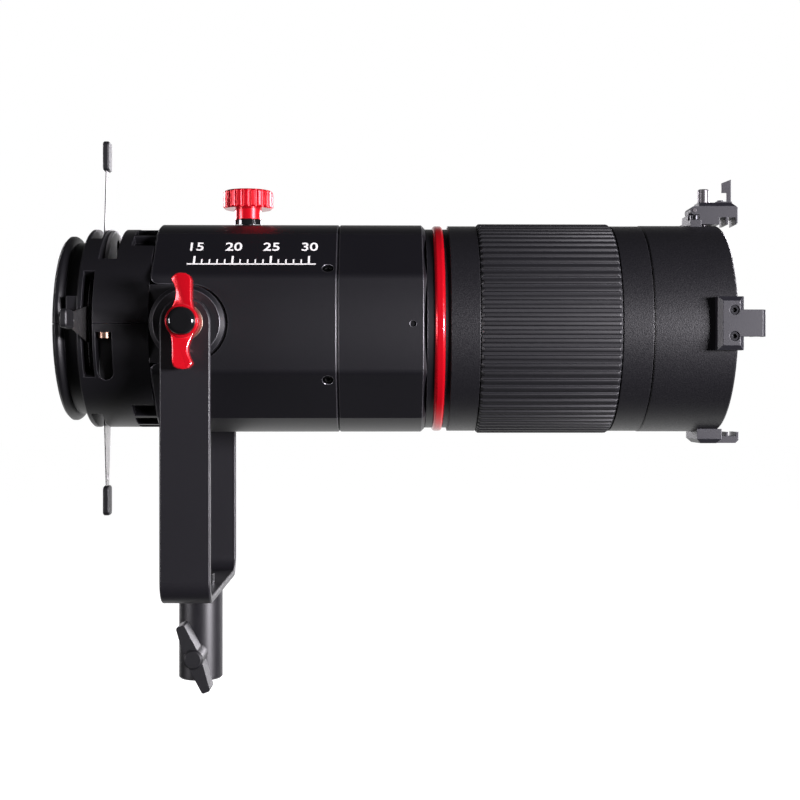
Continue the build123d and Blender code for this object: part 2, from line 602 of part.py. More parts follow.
with BuildPart() as yoke_arms:
    for side in (0, 180):
        with BuildSketch(radial(0, ARM_Y, side)) as arm:
            turned = 1 if side == 180 else -1
            Circle(YOKE_WIDTH / 2)
            with Locations((0, turned * (BAR_TOP_Z - TILT_Z) / 2)):
                Rectangle(YOKE_WIDTH, TILT_Z - BAR_TOP_Z)
        extrude(amount=YOKE_THICKNESS)
    outline = faces().filter_by(Axis.Y).edges()
    chamfer(outline.filter_by(lambda rim: rim.center().Z > BAR_TOP_Z + 0.5), length=YOKE_EDGE)
    for side in (0, 180):
        peg(radial(0, ARM_Y - 1, side), PIVOT_R + RUN, YOKE_THICKNESS + 2, mode=Mode.SUBTRACT)

with BuildPart() as yoke:
    with BuildSketch(Plane.YZ):
        with Locations((0, YOKE_BOTTOM_Z)):
            Rectangle(2 * YOKE_Y, BAR_TOP_Z - YOKE_BOTTOM_Z, align=(Align.CENTER, Align.MIN))
        fillet(vertices().group_by(Axis.Y)[0], radius=YOKE_BEND)
    extrude(amount=YOKE_WIDTH / 2, both=True)
    with BuildSketch(Plane.YZ):
        with Locations((0, YOKE_BOTTOM_Z + YOKE_THICKNESS)):
            Rectangle(2 * ARM_Y, BAR_TOP_Z - YOKE_BOTTOM_Z, align=(Align.CENTER, Align.MIN))
        fillet(vertices().group_by(Axis.Y)[0], radius=YOKE_BEND - YOKE_THICKNESS)
    extrude(amount=YOKE_WIDTH / 2, both=True, mode=Mode.SUBTRACT)
    rims = faces().filter_by(Axis.X).edges()
    chamfer(rims.filter_by(lambda rim: rim.center().Z < BAR_TOP_Z - 0.5), length=YOKE_EDGE)
    add(yoke_arms.part)
    peg(Plane.XY.offset(YOKE_BOTTOM_Z - 1), YOKE_BOLT_R + FIT, YOKE_THICKNESS + 2, mode=Mode.SUBTRACT)
save(yoke, "yoke")

# Stand socket: a tube bolted under the yoke, with a tee-handled clamping screw -------------------
LOCK_Z = 17.1
LOCK_R = 3.5
LOCK_HUB_R = 5.8
LOCK_HUB_START = RECEIVER_R + 2.4
LOCK_HUB_LENGTH = 23.0
LOCK_WING_REACH = 20.5
LOCK_WING_ROOT = 9.4
LOCK_WING_END = 5.0
LOCK_WING_DEPTH = 17.0
LOCK_TURN = radians(22.0)  # how far the wings stand off the vertical at rest
YOKE_BOLT_TIP_Z = SOCKET_DEPTH + 2.0

with BuildPart() as stand_receiver:
    peg(Plane.XY, RECEIVER_R, RECEIVER_LENGTH)
    chamfer(edges().filter_by(GeomType.CIRCLE).group_by(Axis.Z)[0], length=1.0)
    peg(Plane.XY, SOCKET_R, SOCKET_DEPTH, mode=Mode.SUBTRACT)
    peg(Plane.XY.offset(SOCKET_DEPTH - 1), YOKE_BOLT_R + FIT, RECEIVER_LENGTH, mode=Mode.SUBTRACT)
    lock_hole = Plane(origin=(0, 0, LOCK_Z), x_dir=(1, 0, 0), z_dir=(0, -1, 0))
    peg(lock_hole, LOCK_R + RUN, RECEIVER_R + 1, mode=Mode.SUBTRACT)
save(stand_receiver, "stand_receiver")

with BuildPart() as yoke_bolt:
    bolt_seat = Plane.XY.offset(YOKE_BOTTOM_Z + YOKE_THICKNESS)
    cap_screw(bolt_seat, 8.0, 5.4, YOKE_BOLT_R, YOKE_BOTTOM_Z + YOKE_THICKNESS - YOKE_BOLT_TIP_Z)
save(yoke_bolt, "yoke_bolt")

with BuildPart() as stand_lock_stud:
    lock_tip = Plane(origin=(0, -SOCKET_R - 0.4, LOCK_Z), x_dir=(1, 0, 0), z_dir=(0, -1, 0))
    peg(lock_tip, LOCK_R, LOCK_HUB_START + 12 - SOCKET_R - 0.4)
save(stand_lock_stud, "stand_lock_stud")

with BuildPart() as stand_lock_handle:
    hub_base = Plane(origin=(0, -LOCK_HUB_START, LOCK_Z), x_dir=(1, 0, 0), z_dir=(0, -1, 0))
    peg(hub_base, LOCK_HUB_R, LOCK_HUB_LENGTH)
    chamfer(edges().filter_by(GeomType.CIRCLE).group_by(Axis.Y)[0], length=1.2)
    wing_start = hub_base.offset(LOCK_HUB_LENGTH - LOCK_WING_DEPTH - 1.5).origin
    wing_base = Plane(wing_start, (cos(LOCK_TURN), 0, sin(LOCK_TURN)), (0, -1, 0))
    with BuildSketch(wing_base):
        for end in (-1, 1):
            Polygon(
                (-LOCK_WING_ROOT / 2, 0),
                (LOCK_WING_ROOT / 2, 0),
                (LOCK_WING_END / 2, end * LOCK_WING_REACH),
                (-LOCK_WING_END / 2, end * LOCK_WING_REACH),
                align=None,
            )
        far_corners = vertices().group_by(Axis.Y)[0] + vertices().group_by(Axis.Y)[-1]
        fillet(far_corners, radius=1.4)
    extrude(amount=LOCK_WING_DEPTH)
    peg(hub_base.offset(-1), LOCK_R + FIT, 13.1, mode=Mode.SUBTRACT)
save(stand_lock_handle, "stand_lock_handle")

# Tilt lock on the near side: red wing knob on a stud that screws into the boss -------------------
KNOB_START = YOKE_Y + KNOB_WASHER + 0.1
KNOB_HUB_R = 9.1
KNOB_HUB_LENGTH = 12.2
KNOB_CAP_R = 7.8
KNOB_CAP_HEIGHT = 3.4
WING_REACH = 26.2
WING_THICKNESS = 9.0
WING_LIFT = 2.6
WING_BACK = 5.3  # straight side of each wing, from the knob's middle line
WING_NECK = 2.5  # hollow side at its narrowest
WING_ROOT = 7.0  # half the width where each wing runs out into the hub
STUD_TIP = BOSS_FACE_Y - STUD_REACH + 0.5

with BuildPart() as tilt_lock_stud:
    peg(radial(0, STUD_TIP, 180), PIVOT_R, KNOB_START + 8 - STUD_TIP)
save(tilt_lock_stud, "tilt_lock_stud")

with BuildPart() as pivot_washers:
    for side in (0, 180):
        with BuildSketch(radial(0, YOKE_Y, side)):
            Circle(KNOB_WASHER_R)
            Circle(PIVOT_R + RUN, mode=Mode.SUBTRACT)
        extrude(amount=KNOB_WASHER)
save(pivot_washers, "pivot_washers")

with BuildPart() as tilt_lock_knob:
    with BuildSketch(radial(0, KNOB_START + WING_LIFT, 180)):
        for end in (1, -1):
            with BuildLine() as wing:
                Polyline(
                    (end * -WING_ROOT, end * 5.0),
                    (end * WING_ROOT, end * 5.0),
                    (end * WING_BACK, end * 10.5),
                    (end * WING_BACK, end * (WING_REACH - 3.2)),
                )
                ThreePointArc(
                    (end * WING_BACK, end * (WING_REACH - 3.2)),
                    (0, end * WING_REACH),
                    (end * -WING_BACK, end * (WING_REACH - 3.0)),
                )
                Spline(
                    (end * -WING_BACK, end * (WING_REACH - 3.0)),
                    (end * -WING_NECK, end * 15.5),
                    (end * -WING_ROOT, end * 5.0),
                )
            make_face(wing.edges())
    extrude(amount=WING_THICKNESS)
    chamfer(faces().filter_by(Axis.Y).group_by(Axis.Y)[0].edges(), length=1.0)
    peg(radial(0, KNOB_START, 180), KNOB_HUB_R, KNOB_HUB_LENGTH)
    chamfer(edges().filter_by(GeomType.CIRCLE).group_by(Axis.Y)[0], length=0.5)
    peg(radial(0, KNOB_START - 1, 180), PIVOT_R + FIT, 9.1, mode=Mode.SUBTRACT)
save(tilt_lock_knob, "tilt_lock_knob")

with BuildPart() as tilt_knob_cap:
    peg(radial(0, KNOB_START + KNOB_HUB_LENGTH, 180), KNOB_CAP_R, KNOB_CAP_HEIGHT)
    fillet(edges().filter_by(GeomType.CIRCLE).group_by(Axis.Y)[0], radius=KNOB_CAP_HEIGHT - 0.4)
save(tilt_knob_cap, "tilt_knob_cap")

with BuildPart() as far_pivot_bolt:
    cap_screw(radial(0, YOKE_Y + KNOB_WASHER, 0), 8.0, 5.0, PIVOT_R, YOKE_Y + KNOB_WASHER - STUD_TIP)
save(far_pivot_bolt, "far_pivot_bolt")

# Focus group: a lens carriage in the body, moved and locked by the red knob on top ---------------
CARRIAGE_LENGTH = 22.0
CARRIAGE_WALL = 4.2
CARRIAGE_X = SPIGOT_END_X + FOCUS_TRAVEL + 2.0
LENS_LIP = 1.6
COLLAR_R = 8.6
COLLAR_HEIGHT = 3.1
FOCUS_NECK_R = 8.0
FOCUS_NECK_HEIGHT = 6.3
FOCUS_HEAD_R = 15.0
FOCUS_HEAD_HEIGHT = 10.7
FOCUS_STUD_R = 2.5
FOCUS_STUD_LENGTH = 12.0
SCALLOP_COUNT = 22
SCALLOP_R = 1.25
COLLAR_TOP = BODY_R + SLIDE + COLLAR_HEIGHT


def lens_cell(start, length, wall, outer):
    """Ring that holds a lens against a lip at its rear end."""
    ring(start, start + length, outer - wall, outer)
    ring(start, start + LENS_LIP, outer - wall - LENS_LIP, outer - wall + 1)


def bulging_lens(middle_x, edge, crown, radius):
    """Lens that bulges on both faces."""
    sphere_r = (radius**2 + crown**2) / (2 * crown)
    with BuildSketch(PROFILE) as half:
        with BuildLine():
            rear_x, front_x = middle_x - edge / 2, middle_x + edge / 2
            RadiusArc((rear_x - crown, 0), (rear_x, radius), sphere_r)
            Line((rear_x, radius), (front_x, radius))
            RadiusArc((front_x, radius), (front_x + crown, 0), sphere_r)
            Line((front_x + crown, 0), (rear_x - crown, 0))
        make_face()
    revolve(half.sketch, axis=OPTIC)


with BuildPart() as focus_carriage:
    lens_cell(CARRIAGE_X, CARRIAGE_LENGTH, CARRIAGE_WALL, BODY_BORE - SLIDE)
    post_foot = BODY_BORE - SLIDE - CARRIAGE_WALL / 2
    peg(radial(FOCUS_X, post_foot, 90), POST_R, COLLAR_TOP - post_foot)
    peg(radial(FOCUS_X, COLLAR_TOP, 90), FOCUS_STUD_R + RUN, -FOCUS_STUD_LENGTH - 0.5, mode=Mode.SUBTRACT)
save(focus_carriage, "focus_carriage")

with BuildPart() as focus_lens:
    focus_lens_r = BODY_BORE - SLIDE - CARRIAGE_WALL - FIT
    bulging_lens(CARRIAGE_X + CARRIAGE_LENGTH / 2, 5.0, 5.5, focus_lens_r)
save(focus_lens, "focus_lens")

with BuildPart() as focus_collar:
    peg(radial(FOCUS_X, COLLAR_TOP, 90), COLLAR_R, -COLLAR_HEIGHT - 1.5)
    ring(FOCUS_X - 2 * COLLAR_R, FOCUS_X + 2 * COLLAR_R, 0, BODY_R + SLIDE, mode=Mode.SUBTRACT)
    chamfer(edges().filter_by(GeomType.CIRCLE).group_by(Axis.Z)[-1], length=0.6)
    peg(radial(FOCUS_X, COLLAR_TOP + 1, 90), POST_R + FIT, -COLLAR_HEIGHT - 4, mode=Mode.SUBTRACT)
save(focus_collar, "focus_collar")

with BuildPart() as focus_knob:
    knob_base = radial(FOCUS_X, COLLAR_TOP + 0.1, 90)
    peg(knob_base, FOCUS_NECK_R, FOCUS_NECK_HEIGHT)
    with BuildSketch(knob_base.offset(FOCUS_NECK_HEIGHT)):
        Circle(FOCUS_HEAD_R)
    extrude(amount=FOCUS_HEAD_HEIGHT)
    rims = edges().filter_by(GeomType.CIRCLE).filter_by(lambda rim: rim.radius > FOCUS_NECK_R + 1)
    chamfer(rims, length=1.1)
    with BuildSketch(knob_base.offset(FOCUS_NECK_HEIGHT)):
        with PolarLocations(FOCUS_HEAD_R + 0.35, SCALLOP_COUNT):
            Circle(SCALLOP_R)
    extrude(amount=FOCUS_HEAD_HEIGHT, mode=Mode.SUBTRACT)
    peg(knob_base, FOCUS_STUD_R, -FOCUS_STUD_LENGTH)
save(focus_knob, "focus_knob")

# Zoom group: turning the ribbed grip drives the zoom carriage along three straight slots ---------
ZOOM_TRAVEL = 40.0
ZOOM_TURN = 90.0  # degrees of the grip for the whole travel
ZOOM_PIN_X = GRIP_X + 8.2
PIN_R = 3.0
PIN_ANGLES = (90, 210, 330)
ZOOM_CARRIAGE_LENGTH = 22.0
ZOOM_CARRIAGE_WALL = 5.0
PIN_SEAT = 3.5
RING_SEAT_STEP = 5.3
GROOVE_STEP = 1.9
BUSH_LENGTH = 6.0
BUSH_WALL = 1.8
SLEEVE_RELIEF = 2.8  # the sleeve is bored out this much between its bushes
PIN_SLOT = 2 * (PIN_R + SLIDE)
CAM_SLOT_R = PIN_R + 3 * SLIDE

with BuildPart() as lens_barrel:
    ring(BARREL_X, BARREL_END_X, BARREL_BORE, BARREL_R)
    for angle in PIN_ANGLES:
        with BuildSketch(radial(ZOOM_PIN_X + ZOOM_TRAVEL / 2, BARREL_R + 1, angle)):
            SlotCenterToCenter(ZOOM_TRAVEL, PIN_SLOT)
        extrude(amount=-(BARREL_WALL + 2), mode=Mode.SUBTRACT)
    for side in (0, 180):
        grub_pit = radial(SECTION_END_X - GRUB_INSET, SIDE_Y - GRUB_SINK, side)
        peg(grub_pit, GRUB_R + FIT, -(GRUB_LENGTH + FIT), mode=Mode.SUBTRACT)
save(lens_barrel, "lens_barrel")

SEAT_R = BAND_R - RING_SEAT_STEP
GROOVE_R = BAND_R - GROOVE_STEP
SLOT_STEPS = 24
BUSH_PLACES = (NECK_RING_X + 2.0, SLEEVE_END_X - 2.0 - BUSH_LENGTH)

with BuildPart() as zoom_sleeve:
    ring(NECK_RING_X, GROOVE_X, SLEEVE_BORE, SEAT_R)
    ring(GROOVE_X, REAR_BAND_X, SLEEVE_BORE, GROOVE_R)
    ring(REAR_BAND_X, GRIP_X, SLEEVE_BORE, BAND_R)
    ring(GRIP_X, FRONT_BAND_X, SLEEVE_BORE, SLEEVE_R)
    ring(FRONT_BAND_X, SLEEVE_END_X, SLEEVE_BORE, BAND_R + 0.1)
    for start in BUSH_PLACES:
        ring(start, start + BUSH_LENGTH, 0, BARREL_R + BUSH_WALL + FIT, mode=Mode.SUBTRACT)
    relief_start = BUSH_PLACES[0] + BUSH_LENGTH + 2
    ring(relief_start, BUSH_PLACES[1] - 2, 0, SLEEVE_BORE + SLEEVE_RELIEF, mode=Mode.SUBTRACT)
    for angle in PIN_ANGLES:
        for step in range(SLOT_STEPS + 1):
            share = step / SLOT_STEPS
            spot = radial(ZOOM_PIN_X + share * ZOOM_TRAVEL, SLEEVE_BORE - 1, angle - share * ZOOM_TURN)
            peg(spot, CAM_SLOT_R, SLEEVE_WALL + 2, mode=Mode.SUBTRACT)
save(zoom_sleeve, "zoom_sleeve")

with BuildPart() as zoom_bushes:
    for start in BUSH_PLACES:
        ring(start, start + BUSH_LENGTH, BARREL_R + RUN, BARREL_R + BUSH_WALL)
save(zoom_bushes, "zoom_bushes")

with BuildPart() as zoom_neck_ring:
    ring(NECK_RING_X, RED_RING_X, SEAT_R + FIT, GROOVE_R)
save(zoom_neck_ring, "zoom_neck_ring")

with BuildPart() as red_ring:
    ring(RED_RING_X, GROOVE_X, 0, BAND_R)
    fillet(edges().filter_by(GeomType.CIRCLE), radius=1.8)
    ring(RED_RING_X, GROOVE_X, 0, SEAT_R + FIT, mode=Mode.SUBTRACT)
save(red_ring, "red_ring")

RIB_WIDTH = 3.1
with BuildPart() as zoom_grip:
    with BuildSketch(PROFILE):
        with BuildLine():
            Polyline(
                (GRIP_X, 0),
                (GRIP_X, GRIP_R - 1.8),
                (GRIP_X + 1.8, GRIP_R),
                (FRONT_BAND_X - 1.8, GRIP_R),
                (FRONT_BAND_X, GRIP_R - 1.8),
                (FRONT_BAND_X, 0),
                close=True,
            )
        make_face()
    revolve(axis=OPTIC)
    with BuildSketch(section(GRIP_X)):
        Circle(GRIP_R - RIB_HEIGHT)
        with PolarLocations(GRIP_R - RIB_HEIGHT, RIB_COUNT):
            Rectangle(2 * RIB_HEIGHT + 1, RIB_WIDTH)
        Circle(SLEEVE_R + FIT, mode=Mode.SUBTRACT)
    extrude(amount=GRIP_LENGTH, mode=Mode.INTERSECT)
save(zoom_grip, "zoom_grip")

ZOOM_CARRIAGE_X = ZOOM_PIN_X - ZOOM_CARRIAGE_LENGTH / 2
ZOOM_CARRIAGE_R = BARREL_BORE - SLIDE
with BuildPart() as zoom_carriage:
    lens_cell(ZOOM_CARRIAGE_X, ZOOM_CARRIAGE_LENGTH, ZOOM_CARRIAGE_WALL, ZOOM_CARRIAGE_R)
    for angle in PIN_ANGLES:
        peg(radial(ZOOM_PIN_X, ZOOM_CARRIAGE_R + 1, angle), PIN_R + FIT, -PIN_SEAT - 1, mode=Mode.SUBTRACT)
save(zoom_carriage, "zoom_carriage")

with BuildPart() as zoom_follower_pins:
    for angle in PIN_ANGLES:
        pin_foot = ZOOM_CARRIAGE_R - PIN_SEAT
        peg(radial(ZOOM_PIN_X, pin_foot, angle), PIN_R, SLEEVE_R - 0.5 - pin_foot)
save(zoom_follower_pins, "zoom_follower_pins")

with BuildPart() as zoom_lens:
    bulging_lens(ZOOM_PIN_X, 5.0, 5.5, ZOOM_CARRIAGE_R - ZOOM_CARRIAGE_WALL - FIT)
save(zoom_lens, "zoom_lens")

# Front tube: carries the front lens inside and the accessory holders around its rim -------------
FRONT_LENS_EDGE = 6.0
FRONT_LENS_CROWN = 9.0
LENS_RING_WIDTH = 5.5
LENS_RING_LENGTH = 4.4
BRACKET_LENGTH = 14.7
BRACKET_OVERHANG = 1.7  # in front of the rim
BRACKET_WIDTH = 30.0
BRACKET_HEIGHT = 6.8
BRACKET_BEVEL = 2.6
TONGUE_REACH = 13.6
TONGUE_WIDTH = 15.0
HOLDER_SLOTS = ((2.2, 3.6), (7.4, 4.4))  # each slot's start in front of the rim, and its width
TONGUE_SLOT_DEPTH = 2.7
BRACKET_SCREW_SPACING = 14.6
BRACKET_SCREW_INSET = 4.0
BRACKET_SCREW_R = 1.5
BRACKET_COUNTERBORE_R = 2.8
BRACKET_COUNTERBORE = 3.0
BRACKET_SCREW_LENGTH = 7.4
BRACKET_R = FRONT_TUBE_R + BRACKET_HEIGHT
BRACKET_END_X = FRONT_RIM_X + BRACKET_OVERHANG
BRACKET_SCREW_X = FRONT_RIM_X - BRACKET_SCREW_INSET
BRACKETS = (("near", 180), ("far", 0), ("bottom", 270))
BASE_SCREW_SPACING = 22.0
KNUCKLE_X = FRONT_RIM_X - 12.9  # hinge pin of the top gate
KNUCKLE_R = 2.5
FOOT_TOP = FRONT_TUBE_R + 6.0
KNUCKLE_REACH = FOOT_TOP + 0.4 + KNUCKLE_R
PLUNGER_X = KNUCKLE_X + 7.0
PLUNGER_TIP_R = 2.0
PLUNGER_POCKET = 1.4


def screw_seat(x, reach, angle, spot):
    """Radial plane moved sideways, around the tube, by a spot."""
    face = radial(x, reach, angle)
    return Plane(face.from_local_coords((0, spot, 0)), face.x_dir, face.z_dir)


def screw_spots(spacing):
    """Two places, one each side of a holder's middle."""
    return (-spacing / 2, spacing / 2)


with BuildPart() as front_tube:
    ring(FRONT_TUBE_X, FRONT_RIM_X, 0, FRONT_TUBE_R)
    chamfer(edges().filter_by(GeomType.CIRCLE), length=0.9)
    ring(BARREL_END_X, FRONT_RIM_X, 0, FRONT_TUBE_BORE, mode=Mode.SUBTRACT)
    ring(FRONT_TUBE_X, BARREL_END_X, 0, BARREL_R + FIT, mode=Mode.SUBTRACT)
    for name, angle in BRACKETS:
        for spot in screw_spots(BRACKET_SCREW_SPACING):
            seat = screw_seat(BRACKET_SCREW_X, BRACKET_R, angle, spot)
            peg(seat, BRACKET_SCREW_R + FIT, -2.5 * BRACKET_HEIGHT, mode=Mode.SUBTRACT)
    for spot in screw_spots(BASE_SCREW_SPACING):
        seat = screw_seat(KNUCKLE_X - 0.8, BRACKET_R, 90, spot)
        peg(seat, BRACKET_SCREW_R + FIT, -2.5 * BRACKET_HEIGHT, mode=Mode.SUBTRACT)
    with BuildSketch(radial(PLUNGER_X + 1.5, FRONT_TUBE_R - PLUNGER_POCKET, 90)):
        SlotCenterToCenter(3.0, 2 * (PLUNGER_TIP_R + 0.6))
    extrude(amount=PLUNGER_POCKET + 1, mode=Mode.SUBTRACT)
save(front_tube, "front_tube")

with BuildPart() as front_lens:
    dome_lens(BARREL_END_X + 0.5, FRONT_LENS_EDGE, FRONT_LENS_CROWN, FRONT_TUBE_BORE - FIT, 1)
save(front_lens, "front_lens")

with BuildPart() as front_lens_ring:
    ring_x = BARREL_END_X + 0.5 + FRONT_LENS_EDGE + 2.2
    ring(ring_x, ring_x + LENS_RING_LENGTH, FRONT_TUBE_BORE - LENS_RING_WIDTH, FRONT_TUBE_BORE - FIT)
save(front_lens_ring, "front_lens_ring")

for name, angle in BRACKETS:
    with BuildPart() as bracket:
        with BuildSketch(lengthwise(angle)):
            Polygon(
                (BRACKET_END_X - BRACKET_LENGTH, FRONT_TUBE_R - 3),
                (BRACKET_END_X, FRONT_TUBE_R - 3),
                (BRACKET_END_X, BRACKET_R),
                (BRACKET_END_X - BRACKET_LENGTH, BRACKET_R),
                align=None,
            )
        extrude(amount=BRACKET_WIDTH / 2, both=True)
        outside = radial(FRONT_RIM_X, BRACKET_R, angle)
        top_face = faces().filter_by(lambda face: abs(outside.to_local_coords(face.center()).Z) < 0.01)
        chamfer(top_face.edges(), length=BRACKET_BEVEL)
        with BuildSketch(lengthwise(angle)):
            Polygon(
                (FRONT_RIM_X - 4, FRONT_TUBE_R + 0.2),
                (FRONT_RIM_X + TONGUE_REACH, FRONT_TUBE_R + 0.2),
                (FRONT_RIM_X + TONGUE_REACH, BRACKET_R - 1.8),
                (FRONT_RIM_X + TONGUE_REACH - 1.8, BRACKET_R),
                (FRONT_RIM_X - 4, BRACKET_R),
                align=None,
            )
        extrude(amount=TONGUE_WIDTH / 2, both=True)
        with BuildSketch(lengthwise(angle)):
            for start, width in HOLDER_SLOTS:
                with Locations((FRONT_RIM_X + start, FRONT_TUBE_R)):
                    Rectangle(width, TONGUE_SLOT_DEPTH, align=(Align.MIN, Align.MIN))
        extrude(amount=TONGUE_WIDTH, both=True, mode=Mode.SUBTRACT)
        ring(FRONT_TUBE_X, BRACKET_END_X + 1, 0, FRONT_TUBE_R + FIT, mode=Mode.SUBTRACT)
        for spot in screw_spots(BRACKET_SCREW_SPACING):
            seat = screw_seat(BRACKET_SCREW_X, BRACKET_R - BRACKET_COUNTERBORE, angle, spot)
            peg(seat, BRACKET_COUNTERBORE_R, BRACKET_HEIGHT, mode=Mode.SUBTRACT)
            peg(seat, BRACKET_SCREW_R + FIT, -2 * BRACKET_HEIGHT, mode=Mode.SUBTRACT)
    save(bracket, f"accessory_bracket_{name}")

with BuildPart() as bracket_screws:
    for name, angle in BRACKETS:
        for spot in screw_spots(BRACKET_SCREW_SPACING):
            seat = screw_seat(BRACKET_SCREW_X, BRACKET_R - BRACKET_COUNTERBORE, angle, spot)
            cap_screw(seat, BRACKET_COUNTERBORE_R - 0.15, 2.4, BRACKET_SCREW_R, BRACKET_SCREW_LENGTH)
    for spot in screw_spots(BASE_SCREW_SPACING):
        seat = screw_seat(KNUCKLE_X - 0.8, BRACKET_R - BRACKET_COUNTERBORE - 1, 90, spot)
        cap_screw(seat, BRACKET_COUNTERBORE_R - 0.15, 2.4, BRACKET_SCREW_R, BRACKET_SCREW_LENGTH - 1)
save(bracket_screws, "bracket_screws")

# Top gate: a hinged holder that flips up so that accessories drop in, held by a spring plunger ----
FOOT_LENGTH = 6.5
FOOT_WIDTH = 30.0
FOOT_STEP = 4.4  # the foot's low wings beside the hinge
GATE_WIDTH = 16.0
TANG_WIDTH = 6.0
HINGE_PIN_R = 1.25
GATE_X = KNUCKLE_X + KNUCKLE_R + 0.3
GATE_BOTTOM = FRONT_TUBE_R + 0.6
GATE_TOP = KNUCKLE_REACH + 5.0
GATE_END_X = FRONT_RIM_X + 13.0
GATE_SLOT_DEPTH = 4.2
GATE_BEVEL = 2.4
PLUNGER_HEAD_R = 3.45
PLUNGER_HEAD = 8.4
FLAG_X = FRONT_RIM_X + 8.6
FLAG_THICKNESS = 1.2

with BuildPart() as gate_base:
    with BuildSketch(lengthwise(90)):
        with Locations((GATE_X - 0.3, FRONT_TUBE_R - 3)):
            Rectangle(FOOT_LENGTH, FOOT_TOP - FRONT_TUBE_R + 3, align=(Align.MAX, Align.MIN))
    extrude(amount=GATE_WIDTH / 2, both=True)
    with BuildSketch(lengthwise(90)):
        with Locations((GATE_X - 0.3, FRONT_TUBE_R - 4)):
            Rectangle(FOOT_LENGTH, FOOT_STEP + 2, align=(Align.MAX, Align.MIN))
    extrude(amount=FOOT_WIDTH / 2, both=True)
    with BuildSketch(lengthwise(90)):
        with Locations((KNUCKLE_X, KNUCKLE_REACH)):
            Circle(KNUCKLE_R)
        with Locations((KNUCKLE_X, KNUCKLE_REACH)):
            Rectangle(2 * KNUCKLE_R, KNUCKLE_R + 1, align=(Align.CENTER, Align.MAX))
    extrude(amount=TANG_WIDTH / 2, both=True)
    ring(FRONT_TUBE_X, FRONT_RIM_X, 0, FRONT_TUBE_R + FIT, mode=Mode.SUBTRACT)
    with BuildSketch(lengthwise(90)):
        with Locations((KNUCKLE_X, KNUCKLE_REACH)):
            Circle(HINGE_PIN_R + FIT)
    extrude(amount=GATE_WIDTH, both=True, mode=Mode.SUBTRACT)
    for spot in screw_spots(BASE_SCREW_SPACING):
        seat = screw_seat(KNUCKLE_X - 0.8, BRACKET_R - BRACKET_COUNTERBORE - 1, 90, spot)
        peg(seat, BRACKET_COUNTERBORE_R, BRACKET_HEIGHT, mode=Mode.SUBTRACT)
        peg(seat, BRACKET_SCREW_R + FIT, -2 * BRACKET_HEIGHT, mode=Mode.SUBTRACT)
save(gate_base, "gate_base")

with BuildPart() as top_gate:
    with BuildSketch(lengthwise(90)):
        Polygon(
            (GATE_X, GATE_BOTTOM),
            (GATE_END_X - 0.6, GATE_BOTTOM),
            (GATE_END_X, GATE_BOTTOM + 1),
            (GATE_END_X, GATE_TOP - 3.2),
            (GATE_END_X - 3.4, GATE_TOP),
            (GATE_X, GATE_TOP),
            align=None,
        )
    extrude(amount=GATE_WIDTH / 2, both=True)
    long_tops = edges().filter_by(Axis.X).group_by(Axis.Z)[-1]
    chamfer(long_tops, length=GATE_BEVEL)
    with BuildSketch(lengthwise(90)):
        with Locations((KNUCKLE_X, KNUCKLE_REACH)):
            Circle(KNUCKLE_R)
            Rectangle(KNUCKLE_R + 1, 2 * KNUCKLE_R, align=(Align.MIN, Align.CENTER))
    extrude(amount=GATE_WIDTH / 2, both=True)
    with BuildSketch(lengthwise(90)):
        with Locations((KNUCKLE_X, KNUCKLE_REACH)):
            Rectangle(2 * (KNUCKLE_R + 0.3), 5 * KNUCKLE_R, align=(Align.CENTER, Align.CENTER))
    extrude(amount=TANG_WIDTH / 2 + 0.2, both=True, mode=Mode.SUBTRACT)
    with BuildSketch(lengthwise(90)):
        with Locations((KNUCKLE_X, KNUCKLE_REACH)):
            Circle(HINGE_PIN_R + RUN)
    extrude(amount=GATE_WIDTH, both=True, mode=Mode.SUBTRACT)
    with BuildSketch(lengthwise(90)):
        for start, width in HOLDER_SLOTS:
            with Locations((FRONT_RIM_X + start, GATE_BOTTOM - 1)):
                Rectangle(width, GATE_SLOT_DEPTH + 1, align=Align.MIN)
    extrude(amount=GATE_WIDTH, both=True, mode=Mode.SUBTRACT)
    peg(radial(PLUNGER_X, GATE_BOTTOM - 1, 90), PLUNGER_TIP_R + RUN, 20, mode=Mode.SUBTRACT)
save(top_gate, "top_gate")

with BuildPart() as gate_hinge_pin:
    with BuildSketch(lengthwise(90)):
        with Locations((KNUCKLE_X, KNUCKLE_REACH)):
            Circle(HINGE_PIN_R)
    extrude(amount=GATE_WIDTH / 2 + 0.4, both=True)
save(gate_hinge_pin, "gate_hinge_pin")

with BuildPart() as plunger_pin:
    peg(radial(PLUNGER_X, GATE_TOP + 0.05, 90), PLUNGER_HEAD_R, PLUNGER_HEAD)
    chamfer(edges().filter_by(GeomType.CIRCLE).group_by(Axis.Z)[-1], length=0.6)
    plunger_tip = FRONT_TUBE_R - PLUNGER_POCKET + 0.3
    peg(radial(PLUNGER_X, plunger_tip, 90), PLUNGER_TIP_R, GATE_TOP + 1 - plunger_tip)
save(plunger_pin, "plunger_pin")

with BuildPart() as gate_flag:
    flag_foot = lengthwise(90)
    with BuildSketch(flag_foot):
        Polygon(
            (FLAG_X - 8.4, GATE_TOP),
            (FLAG_X + 2.2, GATE_TOP),
            (FLAG_X + 2.2, GATE_TOP + 1.0),
            (FLAG_X - 7.2, GATE_TOP + 1.0),
            align=None,
        )
    extrude(amount=3.0, both=True)
    with BuildSketch(flag_foot):
        Polygon(
            (FLAG_X - 0.4, GATE_TOP + 0.5),
            (FLAG_X + 2.2, GATE_TOP + 0.5),
            (FLAG_X + 2.2, GATE_TOP + 14.6),
            (FLAG_X - 3.4, GATE_TOP + 12.4),
            (FLAG_X - 3.4, GATE_TOP + 6.6),
            (FLAG_X - 0.4, GATE_TOP + 6.6),
            align=None,
        )
    extrude(amount=FLAG_THICKNESS / 2, both=True)
    flag_screw = radial(FLAG_X - 4.2, GATE_TOP + 0.9, 90)
    peg(flag_screw, 1.9, 1.0)
save(gate_flag, "gate_flag")
